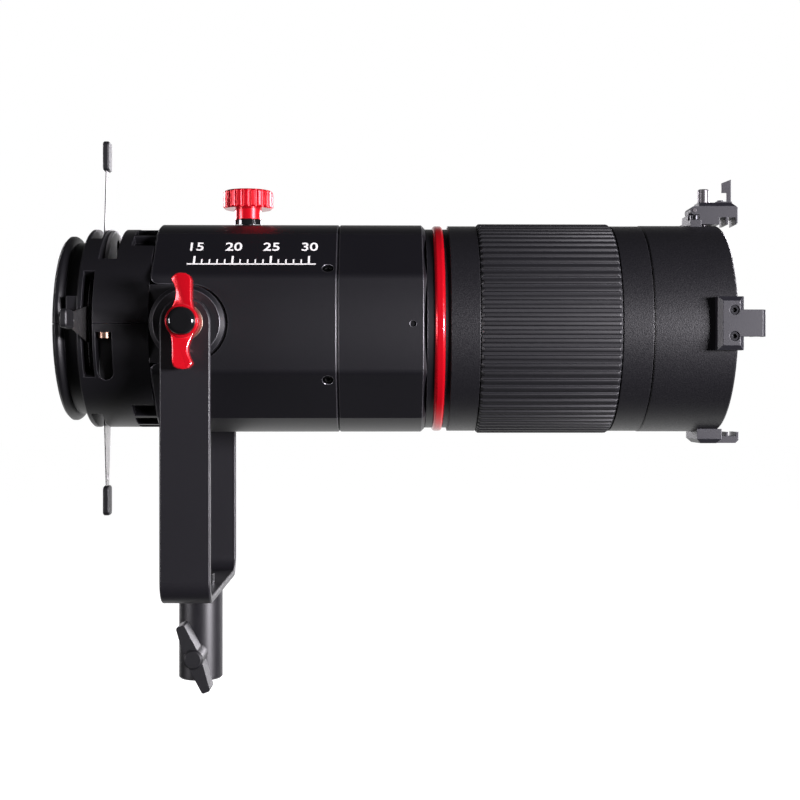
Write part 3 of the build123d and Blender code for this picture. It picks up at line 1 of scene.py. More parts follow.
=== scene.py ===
import math

import bmesh
import bpy
from mathutils import Matrix, Vector


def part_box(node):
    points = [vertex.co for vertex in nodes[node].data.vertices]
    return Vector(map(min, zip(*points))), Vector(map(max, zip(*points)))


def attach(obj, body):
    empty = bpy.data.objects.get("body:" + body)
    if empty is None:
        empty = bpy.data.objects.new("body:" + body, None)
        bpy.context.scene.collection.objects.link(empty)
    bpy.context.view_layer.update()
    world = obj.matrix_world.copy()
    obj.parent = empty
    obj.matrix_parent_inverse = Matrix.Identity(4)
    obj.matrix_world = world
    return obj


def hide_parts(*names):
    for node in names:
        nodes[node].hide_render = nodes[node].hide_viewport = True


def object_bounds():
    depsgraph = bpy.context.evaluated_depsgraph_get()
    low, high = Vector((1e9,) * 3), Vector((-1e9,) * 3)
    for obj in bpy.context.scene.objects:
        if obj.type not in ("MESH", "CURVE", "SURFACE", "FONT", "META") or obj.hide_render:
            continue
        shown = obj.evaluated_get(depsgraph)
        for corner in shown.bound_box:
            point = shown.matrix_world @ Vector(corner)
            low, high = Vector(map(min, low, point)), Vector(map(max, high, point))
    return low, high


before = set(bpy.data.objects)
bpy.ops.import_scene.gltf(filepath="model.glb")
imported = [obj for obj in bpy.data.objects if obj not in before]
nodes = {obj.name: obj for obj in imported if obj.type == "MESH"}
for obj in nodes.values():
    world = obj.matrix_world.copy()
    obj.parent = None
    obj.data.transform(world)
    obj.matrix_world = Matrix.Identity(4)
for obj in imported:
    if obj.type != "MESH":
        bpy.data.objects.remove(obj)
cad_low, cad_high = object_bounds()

GRAIN_DETAIL = 3.0
PATCH_DETAIL = 5.0
EDGE_SAMPLES = 6
EDGE_BEGINS = 0.99
EDGE_FULL = 0.80
MASK_LOW = 0.3
MASK_HIGH = 0.7
HANDLING_SCALE = 25.0
# The Mix node's colour sockets share their names with its other sockets, so they go by number.
MIX_FIRST_COLOUR = 6
MIX_SECOND_COLOUR = 7
MIX_COLOUR_RESULT = 2


def shader_group(name, inputs, outputs):
    """Empty shader node group with named float inputs and named outputs."""
    tree = bpy.data.node_groups.new(name, "ShaderNodeTree")
    for label, value in inputs:
        socket = tree.interface.new_socket(label, in_out="INPUT", socket_type="NodeSocketFloat")
        socket.default_value = value
    for label, kind in outputs:
        tree.interface.new_socket(label, in_out="OUTPUT", socket_type=kind)
    return tree, tree.nodes.new("NodeGroupInput"), tree.nodes.new("NodeGroupOutput")


def surface_texture_group():
    """Fine moulded or blasted grain, and the slow patches of handling that lie over it."""
    tree, given, result = shader_group(
        "surface_texture",
        [("Grain Scale", 1500.0), ("Patch Scale", HANDLING_SCALE)],
        [("Grain", "NodeSocketFloat"), ("Patches", "NodeSocketFloat")],
    )
    place = tree.nodes.new("ShaderNodeTexCoord")
    for label, scale, detail in (
        ("Grain", "Grain Scale", GRAIN_DETAIL), ("Patches", "Patch Scale", PATCH_DETAIL),
    ):
        noise = tree.nodes.new("ShaderNodeTexNoise")
        noise.inputs["Detail"].default_value = detail
        tree.links.new(place.outputs["Object"], noise.inputs["Vector"])
        tree.links.new(given.outputs[scale], noise.inputs["Scale"])
        tree.links.new(noise.outputs["Fac"], result.inputs[label])
    return tree


def broken_edges_group():
    """Rounded-over edges: the softened normal, and a mask of the edges that hands polish."""
    tree, given, result = shader_group(
        "broken_edges",
        [("Radius", 0.0004)],
        [("Normal", "NodeSocketVector"), ("Edge", "NodeSocketFloat")],
    )
    rounding = tree.nodes.new("ShaderNodeBevel")
    rounding.samples = EDGE_SAMPLES
    face = tree.nodes.new("ShaderNodeNewGeometry")
    compare = tree.nodes.new("ShaderNodeVectorMath")
    compare.operation = "DOT_PRODUCT"
    spread = tree.nodes.new("ShaderNodeMapRange")
    spread.inputs["From Min"].default_value = EDGE_BEGINS
    spread.inputs["From Max"].default_value = EDGE_FULL
    tree.links.new(given.outputs["Radius"], rounding.inputs["Radius"])
    tree.links.new(rounding.outputs["Normal"], compare.inputs[0])
    tree.links.new(face.outputs["Normal"], compare.inputs[1])
    tree.links.new(compare.outputs["Value"], spread.inputs["Value"])
    tree.links.new(rounding.outputs["Normal"], result.inputs["Normal"])
    tree.links.new(spread.outputs["Result"], result.inputs["Edge"])
    return tree


surface_texture = surface_texture_group()
broken_edges = broken_edges_group()


def place_group(material, tree, **values):
    """A node group placed in a material with its own values."""
    node = material.node_tree.nodes.new("ShaderNodeGroup")
    node.node_tree = tree
    for label, value in values.items():
        node.inputs[label.replace("_", " ")].default_value = value
    return node


def mix_colours(material, factor, first, second):
    """Mix node between two colours, driven by a mask socket."""
    mix = material.node_tree.nodes.new("ShaderNodeMix")
    mix.data_type = "RGBA"
    material.node_tree.links.new(factor, mix.inputs["Factor"])
    for socket, colour in ((MIX_FIRST_COLOUR, first), (MIX_SECOND_COLOUR, second)):
        if isinstance(colour, tuple):
            mix.inputs[socket].default_value = (*colour, 1.0)
        else:
            material.node_tree.links.new(colour, mix.inputs[socket])
    return mix.outputs[MIX_COLOUR_RESULT]


def remap(material, value, low, high):
    """A mask stretched to run from low to high over the middle of its range."""
    node = material.node_tree.nodes.new("ShaderNodeMapRange")
    node.inputs["From Min"].default_value = MASK_LOW
    node.inputs["From Max"].default_value = MASK_HIGH
    node.inputs["To Min"].default_value = low
    node.inputs["To Max"].default_value = high
    material.node_tree.links.new(value, node.inputs["Value"])
    return node.outputs["Result"]


def bump(material, height, depth, normal):
    """Bump node over a normal: the depth is the full swing of the pattern, in metres."""
    node = material.node_tree.nodes.new("ShaderNodeBump")
    node.inputs["Strength"].default_value = 1.0
    node.inputs["Distance"].default_value = depth
    material.node_tree.links.new(height, node.inputs["Height"])
    material.node_tree.links.new(normal, node.inputs["Normal"])
    return node.outputs["Normal"]


def solid_finish(
    name, colour, patch_colour, edge_colour, rough, grain, depth,
    metallic=0.0, specular=0.5, edge_radius=0.0004, coat=0.0, bare_edges=False,
):
    """Opaque finish: base colour with patches and lighter edges, grained roughness and bump.

    With bare edges, the metal shows through where the finish is thin."""
    material = bpy.data.materials.new(name)
    material.use_nodes = True
    links = material.node_tree.links
    shader = material.node_tree.nodes["Principled BSDF"]
    shader.inputs["Metallic"].default_value = metallic
    shader.inputs["Specular IOR Level"].default_value = specular
    shader.inputs["Coat Weight"].default_value = coat
    texture = place_group(
        material, surface_texture, Grain_Scale=grain, Patch_Scale=HANDLING_SCALE,
    )
    edges = place_group(material, broken_edges, Radius=edge_radius)
    body_colour = mix_colours(material, texture.outputs["Patches"], colour, patch_colour)
    worn_colour = mix_colours(material, edges.outputs["Edge"], body_colour, edge_colour)
    links.new(worn_colour, shader.inputs["Base Color"])
    if bare_edges:
        links.new(edges.outputs["Edge"], shader.inputs["Metallic"])
    links.new(remap(material, texture.outputs["Grain"], *rough), shader.inputs["Roughness"])
    relief = bump(material, texture.outputs["Grain"], depth, edges.outputs["Normal"])
    links.new(relief, shader.inputs["Normal"])
    return material


def dress(material, *names):
    """Gives CAD nodes their finish."""
    for name in names:
        for slot in nodes[name].material_slots:
            slot.material = material


satin_moulding = solid_finish(
    "satin_moulding", (0.0032, 0.0030, 0.0040), (0.0046, 0.0044, 0.0056), (0.040, 0.039, 0.045),
    rough=(0.36, 0.46), grain=2600.0, depth=0.00003, edge_radius=0.0005,
)
copper_screw = solid_finish(
    "copper_washed_screw", (0.24, 0.15, 0.11), (0.18, 0.12, 0.09), (0.40, 0.27, 0.20),
    rough=(0.34, 0.46), grain=3000.0, depth=0.00001, metallic=1.0, edge_radius=0.0002,
)
dress(satin_moulding, "rear_housing_upper", "rear_housing_lower")
dress(copper_screw, "housing_screws")

# --- Lamp mount ---------------------------------------------------------------------------------
# A turned steel bayonet ring pressed into the housing's neck, where the lamp head locks on, and
# the plano-convex condenser lens that sits against the gate behind it.
LINE_DETAIL = 4.0
LINE_DEPTH = 0.000012
METAL_PATCH_SCALE = 60.0
GLASS_IOR = 1.52
COATING_WEIGHT = 0.6
COATING_ROUGHNESS = 0.02
SMEAR_SCALE = 35.0
SMEAR_ROUGHNESS = 0.03


def turned_lines_group():
    """Fine lines left by a lathe: they vary only along one direction of the piece."""
    tree, given, result = shader_group(
        "turned_lines",
        [("Line Scale", 3000.0), ("Along X", 1.0), ("Along Y", 0.0), ("Along Z", 0.0)],
        [("Lines", "NodeSocketFloat")],
    )
    place = tree.nodes.new("ShaderNodeTexCoord")
    direction = tree.nodes.new("ShaderNodeCombineXYZ")
    for axis in "XYZ":
        tree.links.new(given.outputs[f"Along {axis}"], direction.inputs[axis])
    along = tree.nodes.new("ShaderNodeVectorMath")
    along.operation = "DOT_PRODUCT"
    tree.links.new(place.outputs["Object"], along.inputs[0])
    tree.links.new(direction.outputs["Vector"], along.inputs[1])
    lines = tree.nodes.new("ShaderNodeTexNoise")
    lines.noise_dimensions = "1D"
    lines.inputs["Detail"].default_value = LINE_DETAIL
    tree.links.new(along.outputs["Value"], lines.inputs["W"])
    tree.links.new(given.outputs["Line Scale"], lines.inputs["Scale"])
    tree.links.new(lines.outputs["Fac"], result.inputs["Lines"])
    return tree


turned_lines = turned_lines_group()


def metal_finish(
    name, colour, shade, edge_colour, rough, along, lines=2500.0, edge_radius=0.0003,
):
    """Bare, plated or blackened metal with fine working lines along one direction."""
    material = bpy.data.materials.new(name)
    material.use_nodes = True
    links = material.node_tree.links
    shader = material.node_tree.nodes["Principled BSDF"]
    shader.inputs["Metallic"].default_value = 1.0
    texture = place_group(material, surface_texture, Patch_Scale=METAL_PATCH_SCALE)
    turning = place_group(
        material, turned_lines,
        Line_Scale=lines, Along_X=along[0], Along_Y=along[1], Along_Z=along[2],
    )
    edges = place_group(material, broken_edges, Radius=edge_radius)
    tinted = mix_colours(material, texture.outputs["Patches"], colour, shade)
    worn = mix_colours(material, edges.outputs["Edge"], tinted, edge_colour)
    links.new(worn, shader.inputs["Base Color"])
    links.new(remap(material, turning.outputs["Lines"], *rough), shader.inputs["Roughness"])
    relief = bump(material, turning.outputs["Lines"], LINE_DEPTH, edges.outputs["Normal"])
    links.new(relief, shader.inputs["Normal"])
    return material


def lens_glass(name, tint, coat_tint):
    """Coated optical glass, with faint smears in its gloss."""
    material = bpy.data.materials.new(name)
    material.use_nodes = True
    shader = material.node_tree.nodes["Principled BSDF"]
    shader.inputs["Base Color"].default_value = (*tint, 1.0)
    shader.inputs["Transmission Weight"].default_value = 1.0
    shader.inputs["IOR"].default_value = GLASS_IOR
    shader.inputs["Coat Weight"].default_value = COATING_WEIGHT
    shader.inputs["Coat Roughness"].default_value = COATING_ROUGHNESS
    shader.inputs["Coat Tint"].default_value = (*coat_tint, 1.0)
    texture = place_group(material, surface_texture, Patch_Scale=SMEAR_SCALE)
    smears = remap(material, texture.outputs["Patches"], 0.0, SMEAR_ROUGHNESS)
    material.node_tree.links.new(smears, shader.inputs["Roughness"])
    return material


turned_steel = metal_finish(
    "turned_steel", (0.50, 0.49, 0.48), (0.40, 0.39, 0.385), (0.75, 0.74, 0.72),
    rough=(0.22, 0.36), along=(1.0, 0.0, 0.0),
)
condenser_glass = lens_glass("condenser_glass", (0.95, 0.97, 0.97), (0.80, 0.90, 1.0))
dress(turned_steel, "lamp_mount_ring")
dress(condenser_glass, "condenser_lens")

# --- Gate, shutters and gobo holder -------------------------------------------------------------
# Three blackened plates guide four stainless framing blades, each with a moulded plastic tip on
# its neck. The gobo holder is a blasted steel slide with a finger hole.
blackened_plate = metal_finish(
    "blackened_plate", (0.030, 0.030, 0.033), (0.022, 0.022, 0.024), (0.10, 0.10, 0.10),
    rough=(0.38, 0.52), along=(0.0, 1.0, 0.0),
)
blade_steel = metal_finish(
    "blade_steel", (0.46, 0.45, 0.45), (0.36, 0.355, 0.36), (0.70, 0.69, 0.68),
    rough=(0.24, 0.40), along=(0.0, 1.0, 1.0), lines=1600.0,
)
holder_steel = solid_finish(
    "blasted_holder_steel", (0.33, 0.325, 0.325), (0.27, 0.265, 0.27), (0.50, 0.50, 0.50),
    rough=(0.38, 0.50), grain=3500.0, depth=0.000015, metallic=0.55, edge_radius=0.0002,
)
grip_plastic = solid_finish(
    "matt_grip_plastic", (0.0048, 0.0048, 0.0058), (0.0070, 0.0070, 0.0080), (0.020, 0.020, 0.023),
    rough=(0.40, 0.52), grain=2200.0, depth=0.00004, edge_radius=0.0005,
)
SHUTTER_NAMES = ("top", "bottom", "near", "far")
dress(blackened_plate, "gate_plate_rear", "gate_plate_middle", "gate_plate_front")
dress(blade_steel, *(f"shutter_blade_{name}" for name in SHUTTER_NAMES))
dress(grip_plastic, *(f"shutter_tip_{name}" for name in SHUTTER_NAMES))
dress(holder_steel, "gobo_holder")

# --- Main body and front section ----------------------------------------------------------------
# Two machined lengths of extruded aluminium, bead blasted and black anodised, joined at a bright
# chamfered seam with four small socket screws in recesses.
black_anodising = solid_finish(
    "black_anodising", (0.0024, 0.0022, 0.0036), (0.0036, 0.0034, 0.0050), (0.34, 0.33, 0.36),
    rough=(0.37, 0.45), grain=3800.0, depth=0.000014, specular=0.62, edge_radius=0.0006,
    bare_edges=True,
)
black_oxide = metal_finish(
    "black_oxide_screw", (0.035, 0.035, 0.038), (0.025, 0.025, 0.027), (0.12, 0.12, 0.12),
    rough=(0.28, 0.42), along=(0.0, 1.0, 0.0), edge_radius=0.0002,
)
dress(black_anodising, "main_body", "front_section")
dress(black_oxide, "body_screws", "grub_screws")

# --- Printed zoom scale -------------------------------------------------------------------------
# A plain scale of beam angles, screen printed in white on the body's upper near facet: numerals
# over a ruled line with long and short ticks.
FACET_TILT = math.radians(43.0)
FACET_SHARE = 0.9583  # the facet's distance from the axis, over the body's radius
PRINT_THICKNESS = 0.00006
SCALE_START_X = -0.002
SCALE_END_X = 0.071
SCALE_MARGIN = 0.004
NUMERAL_SIZE = 0.0098
NUMERAL_UP = 0.0060
NUMERAL_WEIGHT = 0.00012
NUMERAL_SPACING = 1.02
LINE_UP = -0.0085
LINE_HALF_WIDTH = 0.0005
LONG_TICK = 0.0068
LONG_TICK_HALF_WIDTH = 0.0006
SHORT_TICK = 0.0040
SHORT_TICK_HALF_WIDTH = 0.0004
TICKS_PER_STEP = 5
BEAM_ANGLES = ("15", "20", "25", "30")

body_low, body_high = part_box("main_body")
axis_z = (body_low.z + body_high.z) / 2
body_radius = (body_high.z - body_low.z) / 2
facet_out = Vector((0.0, -math.cos(FACET_TILT), math.sin(FACET_TILT)))
facet_up = Vector((0.0, math.sin(FACET_TILT), math.cos(FACET_TILT)))
facet_middle = Vector((0.0, 0.0, axis_z)) + facet_out * body_radius * FACET_SHARE
facet_place = Matrix.Identity(4)
for column, way in enumerate((Vector((1.0, 0.0, 0.0)), facet_up, facet_out)):
    for row in range(3):
        facet_place[row][column] = way[row]
facet_place.translation = facet_middle


def finished_piece(name, shape, material, body, crease=30.0):
    """Turns a bmesh into a piece with its finish, which rides on a body of the frame."""
    bmesh.ops.recalc_face_normals(shape, faces=shape.faces)
    data = bpy.data.meshes.new(name)
    shape.to_mesh(data)
    shape.free()
    data.materials.append(material)
    data.shade_smooth()
    data.set_sharp_from_angle(angle=math.radians(crease))
    piece = bpy.data.objects.new(name, data)
    bpy.context.scene.collection.objects.link(piece)
    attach(piece, body)
    return piece


def add_bar(shape, left, right, low, high):
    """Flat printed bar on the facet, between two places along it and two heights on it."""
    bar = bmesh.ops.create_cube(shape, size=1.0)["verts"]
    bmesh.ops.scale(shape, verts=bar, vec=(right - left, high - low, PRINT_THICKNESS))
    middle = ((left + right) / 2, (low + high) / 2, PRINT_THICKNESS / 2)
    bmesh.ops.translate(shape, verts=bar, vec=middle)
    bmesh.ops.transform(shape, verts=bar, matrix=facet_place)


def add_numeral(shape, text, centre_x, centre_up):
    """Printed numeral, centred on a place on the facet."""
    lettering = bpy.data.curves.new("numeral", "FONT")
    lettering.body = text
    lettering.size = NUMERAL_SIZE
    lettering.align_x = "CENTER"
    lettering.align_y = "CENTER"
    lettering.extrude = PRINT_THICKNESS / 2
    lettering.offset = NUMERAL_WEIGHT
    lettering.space_character = NUMERAL_SPACING
    holder = bpy.data.objects.new("numeral", lettering)
    bpy.context.scene.collection.objects.link(holder)
    flat = bpy.data.meshes.new_from_object(holder)
    flat.transform(Matrix.Translation((centre_x, centre_up, PRINT_THICKNESS / 2)))
    flat.transform(facet_place)
    shape.from_mesh(flat)
    bpy.data.objects.remove(holder)
    bpy.data.curves.remove(lettering)
    bpy.data.meshes.remove(flat)


white_print = solid_finish(
    "white_screen_print", (0.78, 0.77, 0.75), (0.70, 0.69, 0.67), (0.80, 0.79, 0.77),
    rough=(0.42, 0.55), grain=2500.0, depth=0.00001, edge_radius=0.0001,
)
print_shape = bmesh.new()
add_bar(
    print_shape, SCALE_START_X, SCALE_END_X, LINE_UP - LINE_HALF_WIDTH, LINE_UP + LINE_HALF_WIDTH,
)
steps = len(BEAM_ANGLES) - 1
step_width = (SCALE_END_X - SCALE_START_X - 2 * SCALE_MARGIN) / steps
for index, beam_angle in enumerate(BEAM_ANGLES):
    place_x = SCALE_START_X + SCALE_MARGIN + index * step_width
    add_numeral(print_shape, beam_angle, place_x, NUMERAL_UP)
    add_bar(
        print_shape, place_x - LONG_TICK_HALF_WIDTH, place_x + LONG_TICK_HALF_WIDTH,
        LINE_UP, LINE_UP + LONG_TICK,
    )
    if index < steps:
        for tick in range(1, TICKS_PER_STEP):
            tick_x = place_x + tick * step_width / TICKS_PER_STEP
            add_bar(
                print_shape, tick_x - SHORT_TICK_HALF_WIDTH, tick_x + SHORT_TICK_HALF_WIDTH,
                LINE_UP, LINE_UP + SHORT_TICK,
            )
finished_piece("printed_zoom_scale", print_shape, white_print, "optic")

# --- Trunnions ----------------------------------------------------------------------------------
# Round anodised bosses screwed to the housing's tongues, with a fibre friction washer on each
# to hold the tilt.
fibre = solid_finish(
    "fibre_washer", (0.060, 0.050, 0.042), (0.085, 0.072, 0.060), (0.10, 0.085, 0.07),
    rough=(0.70, 0.85), grain=1400.0, depth=0.00005,
)
dress(black_anodising, "trunnion_boss_near", "trunnion_boss_far")
dress(black_oxide, "boss_screws", "far_pivot_bolt")
dress(fibre, "friction_washers")

# --- Yoke and stand socket ----------------------------------------------------------------------
# A flat steel bar bent to a U, powder coated, bolted down on the turned stand socket. A tee
# handled screw clamps the stand's stud.
powder_coat = solid_finish(
    "black_powder_coat", (0.0052, 0.0049, 0.0066), (0.0068, 0.0065, 0.0082), (0.100, 0.097, 0.108),
    rough=(0.34, 0.46), grain=1500.0, depth=0.00003, edge_radius=0.0006,
)
stud_steel = metal_finish(
    "stud_steel", (0.48, 0.47, 0.46), (0.40, 0.39, 0.38), (0.70, 0.69, 0.67),
    rough=(0.20, 0.34), along=(0.0, 1.0, 0.0),
)
dress(powder_coat, "yoke", "stand_receiver")
dress(black_oxide, "yoke_bolt")
dress(grip_plastic, "stand_lock_handle")
dress(stud_steel, "stand_lock_stud")

# --- Tilt lock ----------------------------------------------------------------------------------
# A red anodised knob on a steel stud: two creased wings that grow from a turned hub, with a gloss
# black cap pressed into it and a brass washer between it and the yoke.
red_anodising = solid_finish(
    "red_anodising", (0.62, 0.0035, 0.013), (0.52, 0.0028, 0.010), (0.80, 0.06, 0.08),
    rough=(0.20, 0.28), grain=3600.0, depth=0.00001, metallic=0.45, coat=0.35, edge_radius=0.0004,
)
dull_brass = metal_finish(
    "dull_brass", (0.42, 0.34, 0.26), (0.34, 0.27, 0.21), (0.62, 0.54, 0.44),
    rough=(0.30, 0.44), along=(0.0, 1.0, 0.0),
)
gloss_cap = solid_finish(
    "gloss_black_cap", (0.0045, 0.0045, 0.0050), (0.0060, 0.0060, 0.0066), (0.012, 0.012, 0.013),
    rough=(0.06, 0.12), grain=900.0, depth=0.000002, coat=0.6,
)
dress(stud_steel, "tilt_lock_stud")
dress(dull_brass, "pivot_washers")
dress(gloss_cap, "tilt_knob_cap")

WING_THICKNESS = 0.0090
WING_SETBACK = 0.0026
WING_BEGINS = 0.004
WING_CREASE_POINT = Vector((0.0006, 0.0, 0.015))
WING_CREASE_SIDE = Vector((0.95, 0.0, 0.31))
WING_CREASE_DROP = 0.30
WING_ROUNDING = 0.0007
WING_RIM_ANGLE = 0.9
HUB_SEGMENTS = 72
HUB_ROUNDING = 0.0009
HUB_RIM_ANGLE = 1.0
ON_PLANE = 0.00001
WING_OUTLINE = (
    (-0.0072, 0.0045), (0.0072, 0.0045), (0.0059, 0.0080), (0.0053, 0.0115), (0.0053, 0.0225),
    (0.0043, 0.0247), (0.0022, 0.0259), (-0.0008, 0.0262), (-0.0035, 0.0256), (-0.0053, 0.0238),
    (-0.0057, 0.0226), (-0.0046, 0.0205), (-0.0036, 0.0180), (-0.0032, 0.0155), (-0.0036, 0.0128),
    (-0.0047, 0.0098), (-0.0059, 0.0073),
)

knob_low, knob_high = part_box("tilt_lock_knob")
knob_middle = (knob_low + knob_high) / 2
hub_radius = (knob_high.x - knob_low.x) / 2
wing_back = knob_high.y - WING_SETBACK
wing_front = wing_back - WING_THICKNESS


def round_edges(shape, edges, width, segments):
    """Rounds edges off to a width."""
    bmesh.ops.bevel(
        shape, geom=edges, offset=width, offset_type="OFFSET", segments=segments, profile=0.5,
        affect="EDGES", clamp_overlap=True, material=-1,
    )


def take_in(shape, other):
    """Adds a second bmesh to the first, and frees it."""
    carrier = bpy.data.meshes.new("carrier")
    other.to_mesh(carrier)
    other.free()
    shape.from_mesh(carrier)
    bpy.data.meshes.remove(carrier)


def add_wing(shape, half_turn):
    """One wing of the knob: straight on one side, hollow on the other, with a creased front."""
    corners = [
        shape.verts.new((knob_middle.x + half_turn * x, wing_back, knob_middle.z + half_turn * z))
        for x, z in WING_OUTLINE
    ]
    back = shape.faces.new(corners)
    grown = bmesh.ops.extrude_face_region(shape, geom=[back], use_keep_orig=True)["geom"]
    front_verts = [item for item in grown if isinstance(item, bmesh.types.BMVert)]
    front_faces = [item for item in grown if isinstance(item, bmesh.types.BMFace)]
    front_edges = [edge for face in front_faces for edge in face.edges]
    bmesh.ops.translate(shape, verts=front_verts, vec=(0.0, -WING_THICKNESS, 0.0))
    crease_point = Vector((knob_middle.x, 0.0, knob_middle.z)) + WING_CREASE_POINT * half_turn
    crease_side = WING_CREASE_SIDE * half_turn
    bmesh.ops.bisect_plane(
        shape, geom=front_faces + front_edges + front_verts,
        plane_co=crease_point, plane_no=crease_side, dist=ON_PLANE,
    )
    for corner in shape.verts:
        past = (corner.co - crease_point).dot(crease_side)
        on_wing = (corner.co.z - knob_middle.z) * half_turn > WING_BEGINS
        if on_wing and past < -2 * ON_PLANE and abs(corner.co.y - wing_front) < ON_PLANE:
            corner.co.y -= past * WING_CREASE_DROP


knob_shape = bmesh.new()
for half_turn in (1, -1):
    add_wing(knob_shape, half_turn)
wing_rims = [edge for edge in knob_shape.edges if edge.calc_face_angle(0.0) > WING_RIM_ANGLE]
round_edges(knob_shape, wing_rims, WING_ROUNDING, segments=2)
hub_shape = bmesh.new()
bmesh.ops.create_cone(
    hub_shape, cap_ends=True, segments=HUB_SEGMENTS, radius1=hub_radius, radius2=hub_radius,
    depth=knob_high.y - knob_low.y,
)
hub_rims = [edge for edge in hub_shape.edges if edge.calc_face_angle(0.0) > HUB_RIM_ANGLE]
round_edges(hub_shape, hub_rims, HUB_ROUNDING, segments=3)
hub_place = Matrix.Translation(knob_middle) @ Matrix.Rotation(math.pi / 2, 4, "X")
bmesh.ops.transform(hub_shape, matrix=hub_place, verts=hub_shape.verts)
take_in(knob_shape, hub_shape)
knob_piece = finished_piece(
    "wing_knob", knob_shape, red_anodising, "tilt_lock", crease=20.0,
)
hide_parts("tilt_lock_knob")

# --- Focus group --------------------------------------------------------------------------------
# A lens in an anodised carriage inside the body, with a gloss collar and a red clamping knob on
# the post that comes up through the body's slot.
focus_glass = lens_glass("focus_glass", (0.96, 0.97, 0.98), (0.85, 0.80, 1.0))
dress(black_anodising, "focus_carriage")
dress(focus_glass, "focus_lens")
dress(gloss_cap, "focus_collar")
dress(red_anodising, "focus_knob")

# --- Zoom group ---------------------------------------------------------------------------------
# The fixed lens barrel, the cam sleeve that turns on nylon bushes, its bands and rings, and the
# carriage with the zoom lens that the sleeve drives. A rubber grip with eighty moulded ribs,
# rounded along their tops and sloped at both ends, is stretched over the sleeve.
zoom_glass = lens_glass("zoom_glass", (0.96, 0.97, 0.98), (0.85, 0.80, 1.0))
natural_nylon = solid_finish(
    "natural_nylon", (0.62, 0.60, 0.54), (0.54, 0.52, 0.47), (0.68, 0.66, 0.60),
    rough=(0.45, 0.60), grain=900.0, depth=0.00002,
)
pin_steel = metal_finish(
    "pin_steel", (0.36, 0.35, 0.36), (0.28, 0.27, 0.28), (0.60, 0.58, 0.60),
    rough=(0.14, 0.26), along=(0.0, 0.0, 1.0),
)
grip_rubber = solid_finish(
    "grip_rubber", (0.0040, 0.0039, 0.0052), (0.0060, 0.0059, 0.0074), (0.020, 0.020, 0.024),
    rough=(0.44, 0.56), grain=2400.0, depth=0.00004, edge_radius=0.0004,
)
dress(black_anodising, "lens_barrel", "zoom_neck_ring", "zoom_carriage")
dress(natural_nylon, "zoom_bushes")
dress(red_anodising, "red_ring")
dress(pin_steel, "zoom_follower_pins")
dress(zoom_glass, "zoom_lens")

TURN_SEGMENTS = 160
SAME_POINT = 0.000001
GRIP_WALL = 0.0045
RIB_COUNT = 80
RIB_HEIGHT = 0.0013
RIB_SINK = 0.0004
RIB_WIDTH = 0.0032
RIB_END_GAP = 0.0004
RIB_END_SLOPE = 0.0017
RIB_SIDE_SLOPE = 0.00045
RIB_ROUNDING = 0.00042
DRUM_END = 0.0011


def turned_ring(profile):
    """Closed profile of (x, radius) corners, turned about the optical axis."""
    shape = bmesh.new()
    corners = [shape.verts.new((x, 0.0, axis_z + radius)) for x, radius in profile]
    for first, second in zip(corners, corners[1:] + corners[:1]):
        shape.edges.new((first, second))
    bmesh.ops.spin(
        shape, geom=shape.verts[:] + shape.edges[:], cent=(0.0, 0.0, axis_z), axis=(1.0, 0.0, 0.0),
        angle=math.tau, steps=TURN_SEGMENTS, use_merge=True,
    )
    bmesh.ops.remove_doubles(shape, verts=shape.verts, dist=SAME_POINT)
    return shape


grip_low, grip_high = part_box("zoom_grip")
grip_radius = (grip_high.z - grip_low.z) / 2
drum_radius = grip_radius - RIB_HEIGHT
grip_shape = turned_ring([
    (grip_low.x, grip_radius - GRIP_WALL),
    (grip_low.x, drum_radius - DRUM_END),
    (grip_low.x + DRUM_END, drum_radius),
    (grip_high.x - DRUM_END, drum_radius),
    (grip_high.x, drum_radius - DRUM_END),
    (grip_high.x, grip_radius - GRIP_WALL),
])
rib_length = grip_high.x - grip_low.x - 2 * RIB_END_GAP
rib_depth = RIB_HEIGHT + RIB_SINK
rib_middle = ((grip_low.x + grip_high.x) / 2, 0.0, axis_z + grip_radius - rib_depth / 2)
rib_shape = bmesh.new()
bmesh.ops.create_cube(rib_shape, size=1.0)
bmesh.ops.scale(rib_shape, verts=rib_shape.verts, vec=(rib_length, RIB_WIDTH, rib_depth))
for corner in rib_shape.verts:
    if corner.co.z > 0:
        corner.co.x -= math.copysign(RIB_END_SLOPE, corner.co.x)
        corner.co.y -= math.copysign(RIB_SIDE_SLOPE, corner.co.y)
top_edges = [edge for edge in rib_shape.edges if any(corner.co.z > 0 for corner in edge.verts)]
round_edges(rib_shape, top_edges, RIB_ROUNDING, segments=2)
bmesh.ops.translate(rib_shape, verts=rib_shape.verts, vec=rib_middle)
bmesh.ops.spin(
    rib_shape, geom=rib_shape.verts[:] + rib_shape.edges[:] + rib_shape.faces[:],
    cent=(0.0, 0.0, axis_z), axis=(1.0, 0.0, 0.0), angle=math.tau * (RIB_COUNT - 1) / RIB_COUNT,
    steps=RIB_COUNT - 1, use_duplicate=True,
)
take_in(grip_shape, rib_shape)
grip_piece = finished_piece("ribbed_grip", grip_shape, grip_rubber, "zoom_ring")
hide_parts("zoom_grip")

